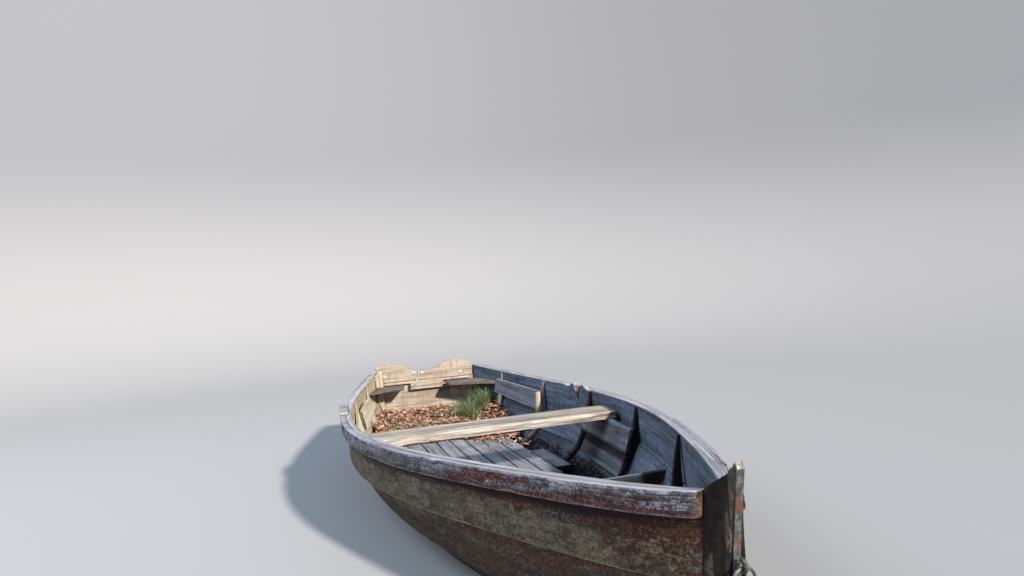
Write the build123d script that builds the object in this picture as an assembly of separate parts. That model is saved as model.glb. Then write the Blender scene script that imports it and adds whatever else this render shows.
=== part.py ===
from build123d import *
import math
import os

os.makedirs("parts", exist_ok=True)

# ---------------------------------------------------------------- dimensions
# Millimetres. X runs from the transom to the bow, Y to port, Z up.
# While the hull is built, x = 0 is the aft face of the transom and z = 0 is
# the floor that the bottom runners stand on. SHIFT_X then moves the finished
# boat so that the middle of its length is at x = 0.
PLANK_T = 18.0          # strake thickness
LAP = 26.0              # how far one strake laps over the next
GAP = 0.4               # working gap between fitted pieces
RAIL_T = 28.0           # rubbing rail, thickness
RAIL_H = 69.0           # rubbing rail, height
BOTTOM_T = 20.0         # bottom planking
RUNNER_W = 46.0         # bottom runners
RUNNER_Y = 245.0
RUNNER_X = (1050.0, 2750.0)
STEM_FRONT_B = 11.0     # half breadth of the stem at its front edge
PLANK_END = 4060.0      # where the strakes stop at the stem
WEDGE_X = 3930.0        # aft edge of the stem behind the strakes
FRAME_T = 32.0          # side frames, along the boat
FLOOR_Z = 105.0         # top of the floor timbers
BOARD_T = 20.0          # floorboards
TRANSOM_T = 30.0
TRANSOM_JOINT = 470.0   # where the top board sits on the lower boards
THWART_X = (1835.0, 2060.0)
THWART_Z = (411.6, 450.0)
RISER_T = 21.0
EYE_Z = 470.0
EYE_X = 4150.0
EYE_R, EYE_WIRE = 14.0, 4.5
RING_R, RING_WIRE = 30.0, 4.0
ROWLOCK_X = 1390.0
SOCKET_R = 8.0

# Half sections of the hull. The columns are: x, rail outside half breadth,
# sheer height, upper lap half breadth and height, lower lap half breadth and
# height, chine half breadth and height (all of the outer faces).
HULL = [
    #   x     rail   sheer  lapA_b lapA_z lapB_b lapB_z chine_b chine_z
    (0.0,    430.0, 550.0, 392.0, 312.0, 348.0, 202.0, 290.0, 100.0),
    (400.0,  555.0, 527.0, 513.0, 287.0, 470.0, 168.0, 362.0, 62.0),
    (970.0,  690.0, 507.0, 652.0, 275.0, 592.0, 150.0, 442.0, 31.0),
    (1570.0, 760.0, 505.0, 718.0, 278.0, 627.0, 148.0, 470.0, 22.0),
    (2315.0, 714.0, 520.0, 677.0, 303.0, 570.0, 146.0, 428.0, 23.0),
    (3100.0, 493.0, 560.0, 462.0, 338.0, 382.0, 146.0, 280.0, 42.0),
    (3700.0, 252.0, 601.0, 224.0, 368.0, 176.0, 162.0, 118.0, 70.0),
    (4060.0, 73.0,  634.0, 61.0,  398.0, 61.5,  190.0, 53.0,  92.0),
]

# The upper strake is thicker along its top edge: by how much, per station.
TOP_EXTRA = [0.0, 9.0, 13.0, 13.0, 13.0, 13.0, 13.0, 8.0]

# Side frames. The columns are: name, x, depth inside the planking 80 below
# the sheer, at the upper lap and at the lower lap.
FRAMES = [
    ("frame_1", 434.0, 14.0, 36.0, 40.0),
    ("frame_2", 994.0, 22.0, 46.0, 34.0),
    ("frame_3", 1634.0, 18.0, 52.0, 28.0),
    ("frame_4", 2334.0, 23.0, 42.0, 28.0),
    ("frame_5", 3184.0, 25.0, 48.0, 40.0),
]


# ------------------------------------------------------------------ 2D tools
def add(a, b, k=1.0):
    return (a[0] + b[0] * k, a[1] + b[1] * k)


def unit(a, b):
    dy, dz = b[0] - a[0], b[1] - a[1]
    n = math.hypot(dy, dz)
    return (dy / n, dz / n)


def inward(u):
    return (-u[1], u[0])


def at_height(p, u, z):
    return add(p, u, (z - p[1]) / u[1])


def slope(i):
    lo, hi = max(i - 1, 0), min(i + 1, len(HULL) - 1)
    return (HULL[hi][1] - HULL[lo][1]) / (HULL[hi][0] - HULL[lo][0])


def half_section(i):
    """Outlines of the port pieces at one station, as (y, z) points."""
    x, rail_b, sheer_z, ab, az, bb, bz, cb, cz = HULL[i]
    f = math.sqrt(1.0 + slope(i) ** 2)
    t = PLANK_T * f
    a, b, c = (ab, az), (bb, bz), (cb, cz)
    top = (rail_b - RAIL_T * f - GAP, sheer_z)
    # upper strake
    u = unit(a, top)
    n = inward(u)
    upper = [a, top, at_height(add(top, n, t + TOP_EXTRA[i] * f), u, sheer_z),
             add(add(a, n, t), u, LAP + 4.0), add(a, n, t)]
    # rubbing rail
    r0 = add(top, n, -GAP)
    r1 = add(r0, n, -RAIL_T * f)
    rail = [r0, r1, add(r1, u, -RAIL_H), add(r0, u, -RAIL_H)]
    # middle strake, bevelled where the upper strake laps it
    k = add(upper[4], n, GAP)
    t_out = add(k, u, LAP)
    um = unit(b, k)
    nm = inward(um)
    run = (t_out[0] - b[0]) * um[0] + (t_out[1] - b[1]) * um[1]
    middle = [b, k, t_out, add(add(b, nm, t), um, run), add(b, nm, t)]
    # lower strake, cut level with the bottom planking
    k2 = add(middle[4], nm, GAP)
    t2_out = add(k2, um, LAP)
    ul = unit(c, k2)
    nl = inward(ul)
    run = (t2_out[0] - c[0]) * ul[0] + (t2_out[1] - c[1]) * ul[1]
    c_in = at_height(add(c, nl, t), ul, cz)
    lower = [c, k2, t2_out, add(add(c, nl, t), ul, run), c_in]
    # bottom planking, bevelled against the lower strake
    s = GAP / ul[1]
    b1 = (c_in[0] - s, cz)
    b2 = (c_in[0] - s + ul[0] / ul[1] * BOTTOM_T, cz + BOTTOM_T)
    bottom = [(-b1[0], cz), b1, b2, (-b2[0], b2[1])]
    return dict(upper=upper, rail=rail, middle=middle, lower=lower,
                bottom=bottom)


def face_at(x, pts):
    return Face(Wire.make_polygon([Vector(x, y, z) for y, z in pts],
                                  close=True))


def loft_pts(rows, ruled=False):
    """rows: list of (x, points)."""
    s = loft([face_at(x, pts) for x, pts in rows], ruled=ruled)
    s = s.solid() if hasattr(s, "solid") else s
    if s.volume < 0:
        s = -s
    return s


def to_starboard(s):
    return mirror(s, Plane.XZ)


def block(x0, x1, y0, y1, z0, z1):
    return Pos((x0 + x1) / 2, (y0 + y1) / 2, (z0 + z1) / 2) * Box(
        abs(x1 - x0), abs(y1 - y0), abs(z1 - z0))


def prism_plan(pts, z0, z1):
    """A board from its outline in plan, (x, y) points."""
    w = Wire.make_polygon([Vector(x, y, z0) for x, y in pts], close=True)
    return extrude(Face(w), amount=z1 - z0, dir=(0, 0, 1))


parts = {}


def keep(name, shape):
    parts[name] = shape


# ----------------------------------------------------------- hull shell
SECTIONS = [half_section(i) for i in range(len(HULL))]
XS = [row[0] for row in HULL]


def along(key):
    return loft_pts([(XS[i], SECTIONS[i][key]) for i in range(len(HULL))])


upper_port = along("upper")
middle_port = along("middle")
lower_port = along("lower")
rail_port = along("rail")
bottom_all = along("bottom")


def guide(solid, key, corner):
    """The long edge of a loft that starts at one corner of its section."""
    y, z = SECTIONS[0][key][corner]
    best, found = 1e9, None
    for e in solid.edges():
        p, q = e.position_at(0), e.position_at(1)
        if abs(p.X - q.X) < 1000:
            continue
        for end in (p, q):
            if abs(end.X - XS[0]) < 1.0:
                d = math.hypot(end.Y - y, end.Z - z)
                if d < best:
                    best, found = d, e
    return found


def on_guide(edge, x):
    p0, p1 = edge.position_at(0), edge.position_at(1)
    rising = p1.X > p0.X
    lo, hi = 0.0, 1.0
    for _ in range(34):
        m = (lo + hi) / 2
        px = edge.position_at(m).X
        if (px < x) == rising:
            lo = m
        else:
            hi = m
    p = edge.position_at((lo + hi) / 2)
    return (p.Y, p.Z)


G_TOP = guide(upper_port, "upper", 2)      # inner top of the upper strake
G_A = guide(middle_port, "middle", 3)      # inner top of the middle strake
G_B = guide(lower_port, "lower", 3)        # inner top of the lower strake
G_C = guide(lower_port, "lower", 4)        # inner foot of the lower strake
G_OUT = guide(rail_port, "rail", 1)        # outer top of the rail
G_BOT = guide(bottom_all, "bottom", 2)     # upper edge of the bottom


def inner_line(x):
    """Inside of the planking at x, from the bottom up, as (y, z) points."""
    x = min(max(x, 0.5), PLANK_END - 0.5)
    c, b = on_guide(G_C, x), on_guide(G_B, x)
    zb = on_guide(G_BOT, x)[1]
    k = (zb + GAP - c[1]) / (b[1] - c[1])
    foot = (c[0] + (b[0] - c[0]) * k - GAP * 1.5, zb + GAP)
    return [foot, (b[0] - GAP, b[1]), (on_guide(G_A, x)[0] - GAP,
            on_guide(G_A, x)[1]), (on_guide(G_TOP, x)[0] - GAP,
                                   on_guide(G_TOP, x)[1])]


def inside_y(x, z):
    pts = inner_line(x)
    for p, q in zip(pts, pts[1:]):
        if z <= q[1]:
            return p[0] + (q[0] - p[0]) * (z - p[1]) / (q[1] - p[1])
    return pts[-1][0]


# the top strake on the port side has a V-shaped piece broken out of it at
# the lost rowlock block
NOTCH = [(1386.0, 40.0), (1444.0, -52.0), (1512.0, 40.0)]   # x, from the sheer
sheer_here = on_guide(G_TOP, 1440.0)[1]
notch_wire = Wire.make_polygon(
    [Vector(x, 600.0, sheer_here + dz) for x, dz in NOTCH], close=True)
notch = extrude(Face(notch_wire), amount=200.0, dir=(0, 1, 0))

keep("upper_strake_port", upper_port - notch)
keep("upper_strake_starboard", to_starboard(upper_port))
keep("middle_strake_port", middle_port)
keep("middle_strake_starboard", to_starboard(middle_port))
keep("lower_strake_port", lower_port)
keep("lower_strake_starboard", to_starboard(lower_port))
keep("gunwale_rail_port", rail_port)
keep("gunwale_rail_starboard", to_starboard(rail_port))

# bottom planking: five boards with open seams
SEAMS_Y = [-222.0, -75.0, 75.0, 222.0]
bottom_cut = bottom_all
for ys in SEAMS_Y:
    bottom_cut = bottom_cut - block(-50, 4200, ys - 0.8, ys + 0.8, -50, 400)
keep("bottom_planks", bottom_cut)


# runners under the bottom, worn flat where the boat stands
def bottom_z(x):
    return on_guide(G_BOT, x)[1] - BOTTOM_T


def runner(side):
    rows = []
    n = 9
    for i in range(n):
        x = RUNNER_X[0] + (RUNNER_X[1] - RUNNER_X[0]) * i / (n - 1)
        z = bottom_z(x) - 1.0
        y0 = side * RUNNER_Y - RUNNER_W / 2
        rows.append((x, [(y0, 0.0), (y0 + RUNNER_W, 0.0),
                         (y0 + RUNNER_W, z), (y0, z)]))
    return loft_pts(rows, ruled=True)


keep("bottom_runners", Compound(children=[runner(-1), runner(1)]))


# ----------------------------------------------------------- stem
def full_outline(pts):
    """Closed outline from the port half, bottom first."""
    return pts + [(-y, z) for y, z in reversed(pts)]


def wedge_rows():
    rows = []
    for x in (WEDGE_X, 3975.0, 4020.0, PLANK_END + 1.0):
        line = [(y - 0.4, z) for y, z in inner_line(x)]
        z_top = line[3][1] - 75.0
        rows.append((x, full_outline(line[:3] + [(inside_y(x, z_top) - 0.4,
                                                  z_top)])))
    return rows


stem_wedge = loft_pts(wedge_rows(), ruled=True)
STEM_PROFILE = [        # x, z
    (PLANK_END + 0.5, 86.0),
    (4086.0, 104.0),
    (4102.0, 160.0),
    (4110.0, 300.0),
    (4123.0, 498.0),
    (4130.0, 546.0),
    (4142.0, 605.0),
    (4160.0, 703.0),
    (4156.0, 711.0),
    (4147.0, 702.0),
    (4128.0, 686.0),
    (4100.0, 667.0),
    (PLANK_END + 0.5, 641.0),
]
stem_board = extrude(
    Face(Wire.make_polygon([Vector(x, -80.0, z)
                            for x, z in STEM_PROFILE], close=True)),
    amount=160.0, dir=(0, 1, 0))
# in plan it tapers from the outside of the strakes to its front edge
STEM_SIDES = [          # half breadth at the strakes, z
    (53.0, 80.0), (61.5, 190.0), (61.0, 398.0), (44.5, 640.0), (44.5, 730.0)]
taper = loft_pts([
    (PLANK_END + 0.3, full_outline(STEM_SIDES)),
    (4165.0, full_outline([(STEM_FRONT_B - 3.0, z) for _, z in STEM_SIDES]))],
    ruled=True)
stem_board = stem_board & taper
eye_bore = Pos(4120, 0, EYE_Z) * Rot(0, 90, 0) * Cylinder(5.4, 200)
stem = (stem_wedge + stem_board) - eye_bore
keep("stem_post", stem)

# the metal band down the front of the stem, turned over its head
BAND_T, BAND_W = 5.0, 20.0
BAND_PATH = [           # x, z, on the wood, from the head to the forefoot
    (4128.0, 686.0),
    (4147.0, 702.0),
    (4156.0, 711.0),
    (4160.0, 703.0),
    (4142.0, 605.0),
    (4130.0, 546.0),
    (4123.0, 498.0),
    (4110.0, 300.0),
    (4102.0, 160.0),
    (4086.0, 104.0),
]


def offset_path(path, d):
    out = []
    for i, p in enumerate(path):
        dirs = []
        if i:
            dirs.append(unit(path[i - 1], p))
        if i < len(path) - 1:
            dirs.append(unit(p, path[i + 1]))
        if len(dirs) == 2:
            m = (dirs[0][0] + dirs[1][0], dirs[0][1] + dirs[1][1])
            n = math.hypot(*m)
            m = (m[0] / n, m[1] / n)
            c = m[0] * dirs[0][0] + m[1] * dirs[0][1]
            k = d / c
        else:
            m, k = dirs[0], d
        out.append((p[0] - m[1] * k, p[1] + m[0] * k))
    return out


band_in = offset_path(BAND_PATH, 0.3)
band_out = offset_path(BAND_PATH, 0.3 + BAND_T)
band_wire = Wire.make_polygon(
    [Vector(x, -BAND_W / 2, z) for x, z in band_in + band_out[::-1]],
    close=True)
band = extrude(Face(band_wire), amount=BAND_W, dir=(0, 1, 0)) - eye_bore
keep("stem_band", band)

# eye bolt through the stem, and the mooring ring that hangs in it
eye = Pos(EYE_X, 0, EYE_Z) * Rot(90, 0, 0) * Torus(EYE_R, EYE_WIRE)
shank_end = EYE_X - EYE_R
shank = Pos((4020 + shank_end) / 2, 0, EYE_Z) * Rot(0, 90, 0) * Cylinder(
    4.8, shank_end - 4020)
keep("mooring_eye", eye + shank)
RING_TOP = EYE_Z - (EYE_R - EYE_WIRE) + RING_WIRE + 0.5
ring = Pos(EYE_X, 0, RING_TOP - RING_R) * Rot(0, 90, 0) * Torus(
    RING_R, RING_WIRE)
keep("mooring_ring", ring)

# ----------------------------------------------------------- transom
def transom_rows():
    rows = []
    for x in (0.0, TRANSOM_T):
        line = inner_line(x)
        y_top = inside_y(x, TRANSOM_JOINT)
        rows.append((x, full_outline(line[:3] + [(y_top, TRANSOM_JOINT)])))
    return rows


lower_transom = loft_pts(transom_rows(), ruled=True)
# two boards, with an open seam
lower_transom = lower_transom - block(-5, 60, -500, 500, 286.0, 287.4)
keep("transom_boards", lower_transom)

# top board with two humps and a dip for sculling; y, z of its upper edge
HUMPS = [(380.0, 562.0), (318.0, 594.0), (240.0, 609.0), (172.0, 600.0),
         (110.0, 572.0), (52.0, 550.0), (-24.0, 546.0), (-98.0, 553.0),
         (-150.0, 578.0), (-212.0, 606.0), (-280.0, 613.0), (-342.0, 608.0),
         (-394.0, 599.0)]
STBD_FOOT = -322.0      # the starboard end of that board is cut aslant
side = inside_y(0.5, TRANSOM_JOINT) - 1.0
edges = [Edge.make_line(Vector(0, STBD_FOOT, TRANSOM_JOINT + GAP),
                        Vector(0, side, TRANSOM_JOINT + GAP)),
         Edge.make_line(Vector(0, side, TRANSOM_JOINT + GAP),
                        Vector(0, *HUMPS[0]))]
for i in range(0, len(HUMPS) - 2, 2):
    edges.append(Edge.make_three_point_arc(Vector(0, *HUMPS[i]),
                                           Vector(0, *HUMPS[i + 1]),
                                           Vector(0, *HUMPS[i + 2])))
edges.append(Edge.make_line(Vector(0, *HUMPS[-1]),
                            Vector(0, STBD_FOOT, TRANSOM_JOINT + GAP)))
top_board = extrude(Face(Wire(edges)), amount=34.0, dir=(1, 0, 0))
keep("transom_top_board", top_board)
keep("transom_ledge", block(34.4, 60.0, -335.0, 340.0, 456.0, 471.0))
keep("stern_centre_block", block(30.4, 74.0, -133.0, 129.0, 408.0, 455.6))


# quarter posts in the corners between the transom and the planking; the
# starboard one stands up past the sheer, the port one ends under the bench
def quarter_post(z_top, y_in):
    rows = []
    for x in (34.4, 80.0):
        line = inner_line(x)
        outer = line[:3] + [(inside_y(x, z_top), z_top)]
        inner = [(y_in, z_top), (y_in, line[2][1]),
                 (line[1][0] - 44.0, line[1][1]), (line[0][0] - 44.0,
                                                   line[0][1])]
        rows.append((x, outer + inner))
    return loft_pts(rows, ruled=True)


keep("quarter_post_port", quarter_post(428.0, 344.0))
keep("quarter_post_starboard", to_starboard(quarter_post(548.0, 336.5)
                                            + block(34.4, 79.0, 337.0, 380.0,
                                                    546.0, 578.0)))

# what is left of the stern bench, in the two corners
IN_81, IN_330, IN_408 = [inside_y(x, 435.0) for x in (81, 330, 408)]
corner_p = prism_plan([(81.0, 138.0), (81.0, IN_81 - 3), (408.0, IN_408 - 3),
                       (408.0, IN_408 - 52), (330.0, 348.0), (290.0, 252.0),
                       (240.0, 136.0)], 432.0, 452.0)
corner_s = prism_plan([(81.0, -182.0), (81.0, -IN_81 + 3),
                       (330.0, -IN_330 + 3), (322.0, -IN_330 + 48),
                       (268.0, -340.0), (240.0, -204.0)], 432.0, 452.0)
keep("stern_bench_board_port", corner_p)
keep("stern_bench_board_starboard", corner_s)


# ----------------------------------------------------------- frames
def frame_outline(x, d_top, d_a, d_b):
    """Port frame at x: down the planking, then up its inner edge."""
    line = inner_line(x)
    top = (line[3][0] - 0.6, line[3][1] - 3.0)
    line = line[:3] + [top]
    foot, b, a = line[0], line[1], line[2]
    knee = inside_y(x, FLOOR_Z) - d_b - 6.0
    z_mid = top[1] - 77.0
    inner = [(top[0] - 5.0, top[1]), (inside_y(x, z_mid) - d_top, z_mid),
             (a[0] - d_a, a[1] - 6.0), (b[0] - d_b, b[1] - 4.0),
             (knee, FLOOR_Z), (foot[0] - 30.0, foot[1])]
    return line + inner


def frame_edge_y(row, x, z):
    """Inner edge of a frame at height z, between its top and its foot."""
    pts = frame_outline(x, *row[2:])[4:]
    for p, q in zip(pts, pts[1:]):
        if q[1] <= z <= p[1]:
            return q[0] + (p[0] - q[0]) * (z - q[1]) / (p[1] - q[1])
    return pts[-1][0]


floor_solids = []
for row in FRAMES:
    name, x = row[0], row[1]
    x0, x1 = x - FRAME_T / 2, x + FRAME_T / 2
    rows = [(xx, frame_outline(xx, *row[2:])) for xx in (x0, x1)]
    futtock = loft_pts(rows, ruled=True)
    keep(name + "_port", futtock)
    keep(name + "_starboard", to_starboard(futtock))
    foot = min(min(inner_line(xx)[0][0] - 31.0,
                   inside_y(xx, FLOOR_Z) - row[4] - 7.0) for xx in (x0, x1))
    z0 = max(inner_line(xx)[0][1] for xx in (x0, x1)) + 0.5
    z1 = FLOOR_Z + 38.0 if name == "frame_1" else FLOOR_Z
    floor_solids.append(block(x0, x1, -foot, foot, z0, z1))
keep("floor_timbers", Compound(children=floor_solids))

# ----------------------------------------------------------- risers
ROW = {r[0]: r for r in FRAMES}


def riser(fa, fb, x0, x1, ends0, ends1, t=RISER_T):
    """A board on the inner edges of two frames, straight between them.

    ends0 and ends1 are its lower and upper edge at x0 and at x1."""
    ra, rb = ROW[fa], ROW[fb]

    def y_at(x, z):
        ya = min(frame_edge_y(ra, ra[1] + s * FRAME_T / 2, z)
                 for s in (-1, 1))
        yb = min(frame_edge_y(rb, rb[1] + s * FRAME_T / 2, z)
                 for s in (-1, 1))
        k = (x - ra[1]) / (rb[1] - ra[1])
        return ya + (yb - ya) * k - 1.6

    rows = []
    for x, (z0, z1) in ((x0, ends0), (x1, ends1)):
        o0, o1 = y_at(x, z0), y_at(x, z1)
        rows.append((x, [(o0, z0), (o1, z1), (o1 - t, z1), (o0 - t, z0)]))
    return loft_pts(rows, ruled=True)


aft_riser = riser("frame_1", "frame_2", 412.0, 998.0, (376.0, 471.0),
                  (313.0, 435.0))
keep("aft_riser_port", aft_riser)
# the starboard one has lost the upper corner of its aft end
lost = extrude(Face(Wire.make_polygon(
    [Vector(x, -700.0, z) for x, z in ((380.0, 330.0), (418.0, 376.0),
                                       (655.0, 474.0), (700.0, 600.0),
                                       (380.0, 600.0))], close=True)),
    amount=400.0, dir=(0, 1, 0))
keep("aft_riser_starboard", to_starboard(aft_riser) - lost)
up = riser("frame_3", "frame_4", 1656.0, 2362.0, (283.0, 411.0),
           (283.0, 411.0))
low = riser("frame_3", "frame_4", 1764.0, 2372.0, (188.0, 281.0),
            (188.0, 281.0))
keep("upper_riser_port", up)
keep("upper_riser_starboard", to_starboard(up))
keep("lower_riser_port", low)
keep("lower_riser_starboard", to_starboard(low))

# ----------------------------------------------------------- thwart
thwart = prism_plan([(THWART_X[0], -682.0), (THWART_X[1], -652.0),
                     (THWART_X[1], 666.0), (THWART_X[0] + 8, 683.0)],
                    THWART_Z[0], THWART_Z[1])
keep("middle_thwart", thwart)


# the board on edge across the bow
def cross_board(x0, x1, z0, z1):
    rows = []
    for x in (x0, x1):
        y0, y1 = inside_y(x, z0) - 1.5, inside_y(x, z1) - 1.5
        pts = [(y0, z0), (y1, z1), (-y1, z1), (-y0, z0)]
        rows.append((x, pts))
    return loft_pts(rows, ruled=True)


keep("bow_cross_board", cross_board(2852.0, 2876.0, 212.0, 336.0))

# ----------------------------------------------------------- floorboards
BOARD_GAP = 4.0
Z_BOARD = FLOOR_Z + GAP


def board_limits(y0, y1, x0, x1):
    """The stretch of a floorboard that clears the planking and frames."""
    reach = max(abs(y0), abs(y1))
    good = []
    x = x0
    while x <= x1 + 0.1:
        if inside_y(x, Z_BOARD + BOARD_T * 0.6) - 50.0 >= reach:
            good.append(x)
        x += 10.0
    return (min(good), max(good)) if good else None


# columns: first x, last x, first board edge, board width, number of boards
BOARD_SETS = [
    (622.0, 1932.0, -478.0, 97.0, 10),
    (1936.0, 2960.0, -376.0, 94.0, 8),
]
boards = []
for sx0, sx1, y_first, w, n in BOARD_SETS:
    for i in range(n):
        y0, y1 = y_first + i * w, y_first + (i + 1) * w - BOARD_GAP
        lim = board_limits(y0, y1, sx0, sx1)
        if lim and lim[1] - lim[0] > 120:
            boards.append(block(lim[0], lim[1], y0, y1, Z_BOARD,
                                Z_BOARD + BOARD_T))
keep("floorboards", Compound(children=boards))

# ----------------------------------------------------------- leaf litter
LITTER = [      # x, height of the heap
    (84.0, 268.0),
    (380.0, 236.0),
    (835.0, 140.0),
]
rows = []
for x, zt in LITTER:
    zb = inner_line(x)[0][1] + 2.0
    yb_ = inside_y(x, zb + 1) - 20.0
    yt = inside_y(x, zt) - 70.0
    rows.append((x, [(yb_ - 50.0, zb), (yt, zt), (-yt, zt),
                     (-yb_ + 50.0, zb)]))
litter = loft_pts(rows, ruled=True)
litter = litter - block(416.0, 452.0, -500, 500, 0, FLOOR_Z + 40.0)
litter = litter - block(610.0, 1200.0, -600, 600, 0, Z_BOARD + BOARD_T + 1.0)
keep("leaf_litter", litter)

# ----------------------------------------------------------- rowlock block
rl_dir = math.degrees(math.atan2(
    on_guide(G_OUT, ROWLOCK_X + 100)[0] - on_guide(G_OUT, ROWLOCK_X - 100)[0],
    200.0))
rl_y = on_guide(G_OUT, ROWLOCK_X)[0] - 23.1
rl_z = max(on_guide(G_OUT, ROWLOCK_X - 130)[1],
           on_guide(G_OUT, ROWLOCK_X + 130)[1],
           on_guide(G_TOP, ROWLOCK_X - 130)[1],
           on_guide(G_TOP, ROWLOCK_X + 130)[1]) + 0.6
ROWLOCK_H = 24.0
rowlock = Pos(ROWLOCK_X, -rl_y, rl_z + ROWLOCK_H / 2) * Rot(
    0, 0, -rl_dir) * Box(250.0, 50.0, ROWLOCK_H)
rowlock = rowlock - Pos(ROWLOCK_X, -rl_y, rl_z + ROWLOCK_H / 2) * Cylinder(
    SOCKET_R, 80.0)
keep("rowlock_block_starboard", rowlock)

# ----------------------------------------------------------- move and write
lo_x = min(s.bounding_box().min.X for s in parts.values())
hi_x = max(s.bounding_box().max.X for s in parts.values())
lo_y = min(s.bounding_box().min.Y for s in parts.values())
hi_y = max(s.bounding_box().max.Y for s in parts.values())
lo_z = min(s.bounding_box().min.Z for s in parts.values())
SHIFT_X = -(lo_x + hi_x) / 2
SHIFT_Y = -(lo_y + hi_y) / 2
print("shift", round(SHIFT_X, 3), round(SHIFT_Y, 3), round(-lo_z, 3))
print("ring axis z", round(RING_TOP - RING_WIRE * 0, 3), "x", EYE_X + SHIFT_X)
print("rowlock", ROWLOCK_X + SHIFT_X, -rl_y + SHIFT_Y, rl_z, rl_dir)

for name, shape in parts.items():
    solids = [Pos(SHIFT_X, SHIFT_Y, 0.0) * s for s in shape.solids()]
    out = solids[0] if len(solids) == 1 else Compound(solids)
    export_step(out, os.path.join("parts", name + ".step"))
print(len(parts), "nodes")
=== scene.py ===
import math
import bpy
import bmesh
import numpy as np
from mathutils import Matrix, Vector


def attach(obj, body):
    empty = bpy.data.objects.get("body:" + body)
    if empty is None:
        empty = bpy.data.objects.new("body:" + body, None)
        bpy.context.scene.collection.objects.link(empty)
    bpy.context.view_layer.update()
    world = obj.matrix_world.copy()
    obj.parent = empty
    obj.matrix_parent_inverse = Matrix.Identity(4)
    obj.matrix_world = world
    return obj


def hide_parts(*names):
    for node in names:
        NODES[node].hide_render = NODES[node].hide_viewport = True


# Looks of the old clinker rowing boat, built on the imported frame.
# All lengths are metres. X runs to the bow, Y to port, Z up; the floor is z = 0.
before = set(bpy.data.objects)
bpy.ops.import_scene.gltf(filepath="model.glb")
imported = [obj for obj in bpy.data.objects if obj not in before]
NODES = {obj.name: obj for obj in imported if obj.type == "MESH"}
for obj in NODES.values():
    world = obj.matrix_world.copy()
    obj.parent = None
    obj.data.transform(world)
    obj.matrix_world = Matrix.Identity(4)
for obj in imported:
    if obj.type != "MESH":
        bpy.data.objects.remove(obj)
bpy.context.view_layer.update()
SX = -2.08425          # the transom's aft face
LAP = 0.026

scene = bpy.context.scene
COLL = scene.collection


# =============================================================== camera
cam_data = bpy.data.cameras.new("camera")
cam_data.lens = 25.3617
cam_data.sensor_width = 36.0
cam_data.clip_start, cam_data.clip_end = 0.05, 300.0
cam = bpy.data.objects.new("camera", cam_data)
COLL.objects.link(cam)
right = Vector((0.296858, 0.952630, -0.066122))
up = Vector((0.013710, 0.064985, 0.997792))
back = Vector((0.954823, -0.297109, 0.006231))
cam.matrix_world = Matrix(((right.x, up.x, back.x, 3.54901),
                           (right.y, up.y, back.y, -0.99100),
                           (right.z, up.z, back.z, 1.17547),
                           (0, 0, 0, 1)))
scene.camera = cam


# =============================================================== noise
def _hash(i, j, k, seed):
    with np.errstate(over="ignore"):
        n = (i.astype(np.int64).astype(np.uint64) * np.uint64(73856093)
             ^ j.astype(np.int64).astype(np.uint64) * np.uint64(19349663)
             ^ k.astype(np.int64).astype(np.uint64) * np.uint64(83492791)
             ^ np.uint64(int(seed) * 26544357 + 12345))
        n &= np.uint64(0xffffffff)
        n = ((n ^ (n >> np.uint64(15))) * np.uint64(2246822519)) & np.uint64(0xffffffff)
        n = ((n ^ (n >> np.uint64(13))) * np.uint64(3266489917)) & np.uint64(0xffffffff)
        n = n ^ (n >> np.uint64(16))
    return n.astype(np.float64) / 4294967295.0 * 2 - 1


def noise(x, y=0.0, z=0.0, seed=0):
    """Smooth value noise from -1 to 1, one cell a unit."""
    x, y, z = np.broadcast_arrays(np.asarray(x, float), np.asarray(y, float),
                                  np.asarray(z, float))
    i, j, k = np.floor(x), np.floor(y), np.floor(z)
    u, v, w = x - i, y - j, z - k
    u, v, w = (a * a * (3 - 2 * a) for a in (u, v, w))
    out = 0
    for di, fu in ((0, 1 - u), (1, u)):
        for dj, fv in ((0, 1 - v), (1, v)):
            for fwd_shade_amount, fw in ((0, 1 - w), (1, w)):
                out = out + fu * fv * fw * _hash(i + di, j + dj, k + fwd_shade_amount, seed)
    return out


def fbm(x, y=0.0, z=0.0, seed=0, octaves=3):
    total, amp, norm = 0, 1.0, 0.0
    for o in range(octaves):
        total = total + amp * noise(np.asarray(x) * 2 ** o, np.asarray(y) * 2 ** o,
                                    np.asarray(z) * 2 ** o, seed + 17 * o)
        norm += amp
        amp *= 0.5
    return total / norm


def sstep(a, b, x):
    t = np.clip((np.asarray(x, float) - a) / (b - a), 0, 1)
    return t * t * (3 - 2 * t)


def bump(x, c, w):
    return np.exp(-((np.asarray(x, float) - c) / w) ** 2)


# =============================================================== CAD reading
def cad_points(node, dist=2e-6):
    bm = bmesh.new()
    bm.from_mesh(NODES[node].data)
    bmesh.ops.remove_doubles(bm, verts=bm.verts, dist=dist)
    return bm


def long_edges(node, degrees=4.0):
    """The sharp edges that run along a strake or rail, as arrays of points."""
    bm = cad_points(node)
    links = {}
    for e in bm.edges:
        if len(e.link_faces) == 2 and math.degrees(e.calc_face_angle()) > degrees:
            a, b = e.verts
            if abs(a.co.x - b.co.x) > 1e-5:
                links.setdefault(a, []).append(b)
                links.setdefault(b, []).append(a)
    x0 = min(v.co.x for v in bm.verts)
    out = []
    for v in bm.verts:
        if abs(v.co.x - x0) < 1e-5 and v in links:
            path, cur = [v], v
            while True:
                ahead = [w for w in links.get(cur, []) if w.co.x > cur.co.x]
                if not ahead:
                    break
                cur = min(ahead, key=lambda w: (w.co - cur.co).length)
                path.append(cur)
            out.append(np.array([tuple(p.co) for p in path]))
    bm.free()
    return out


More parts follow.
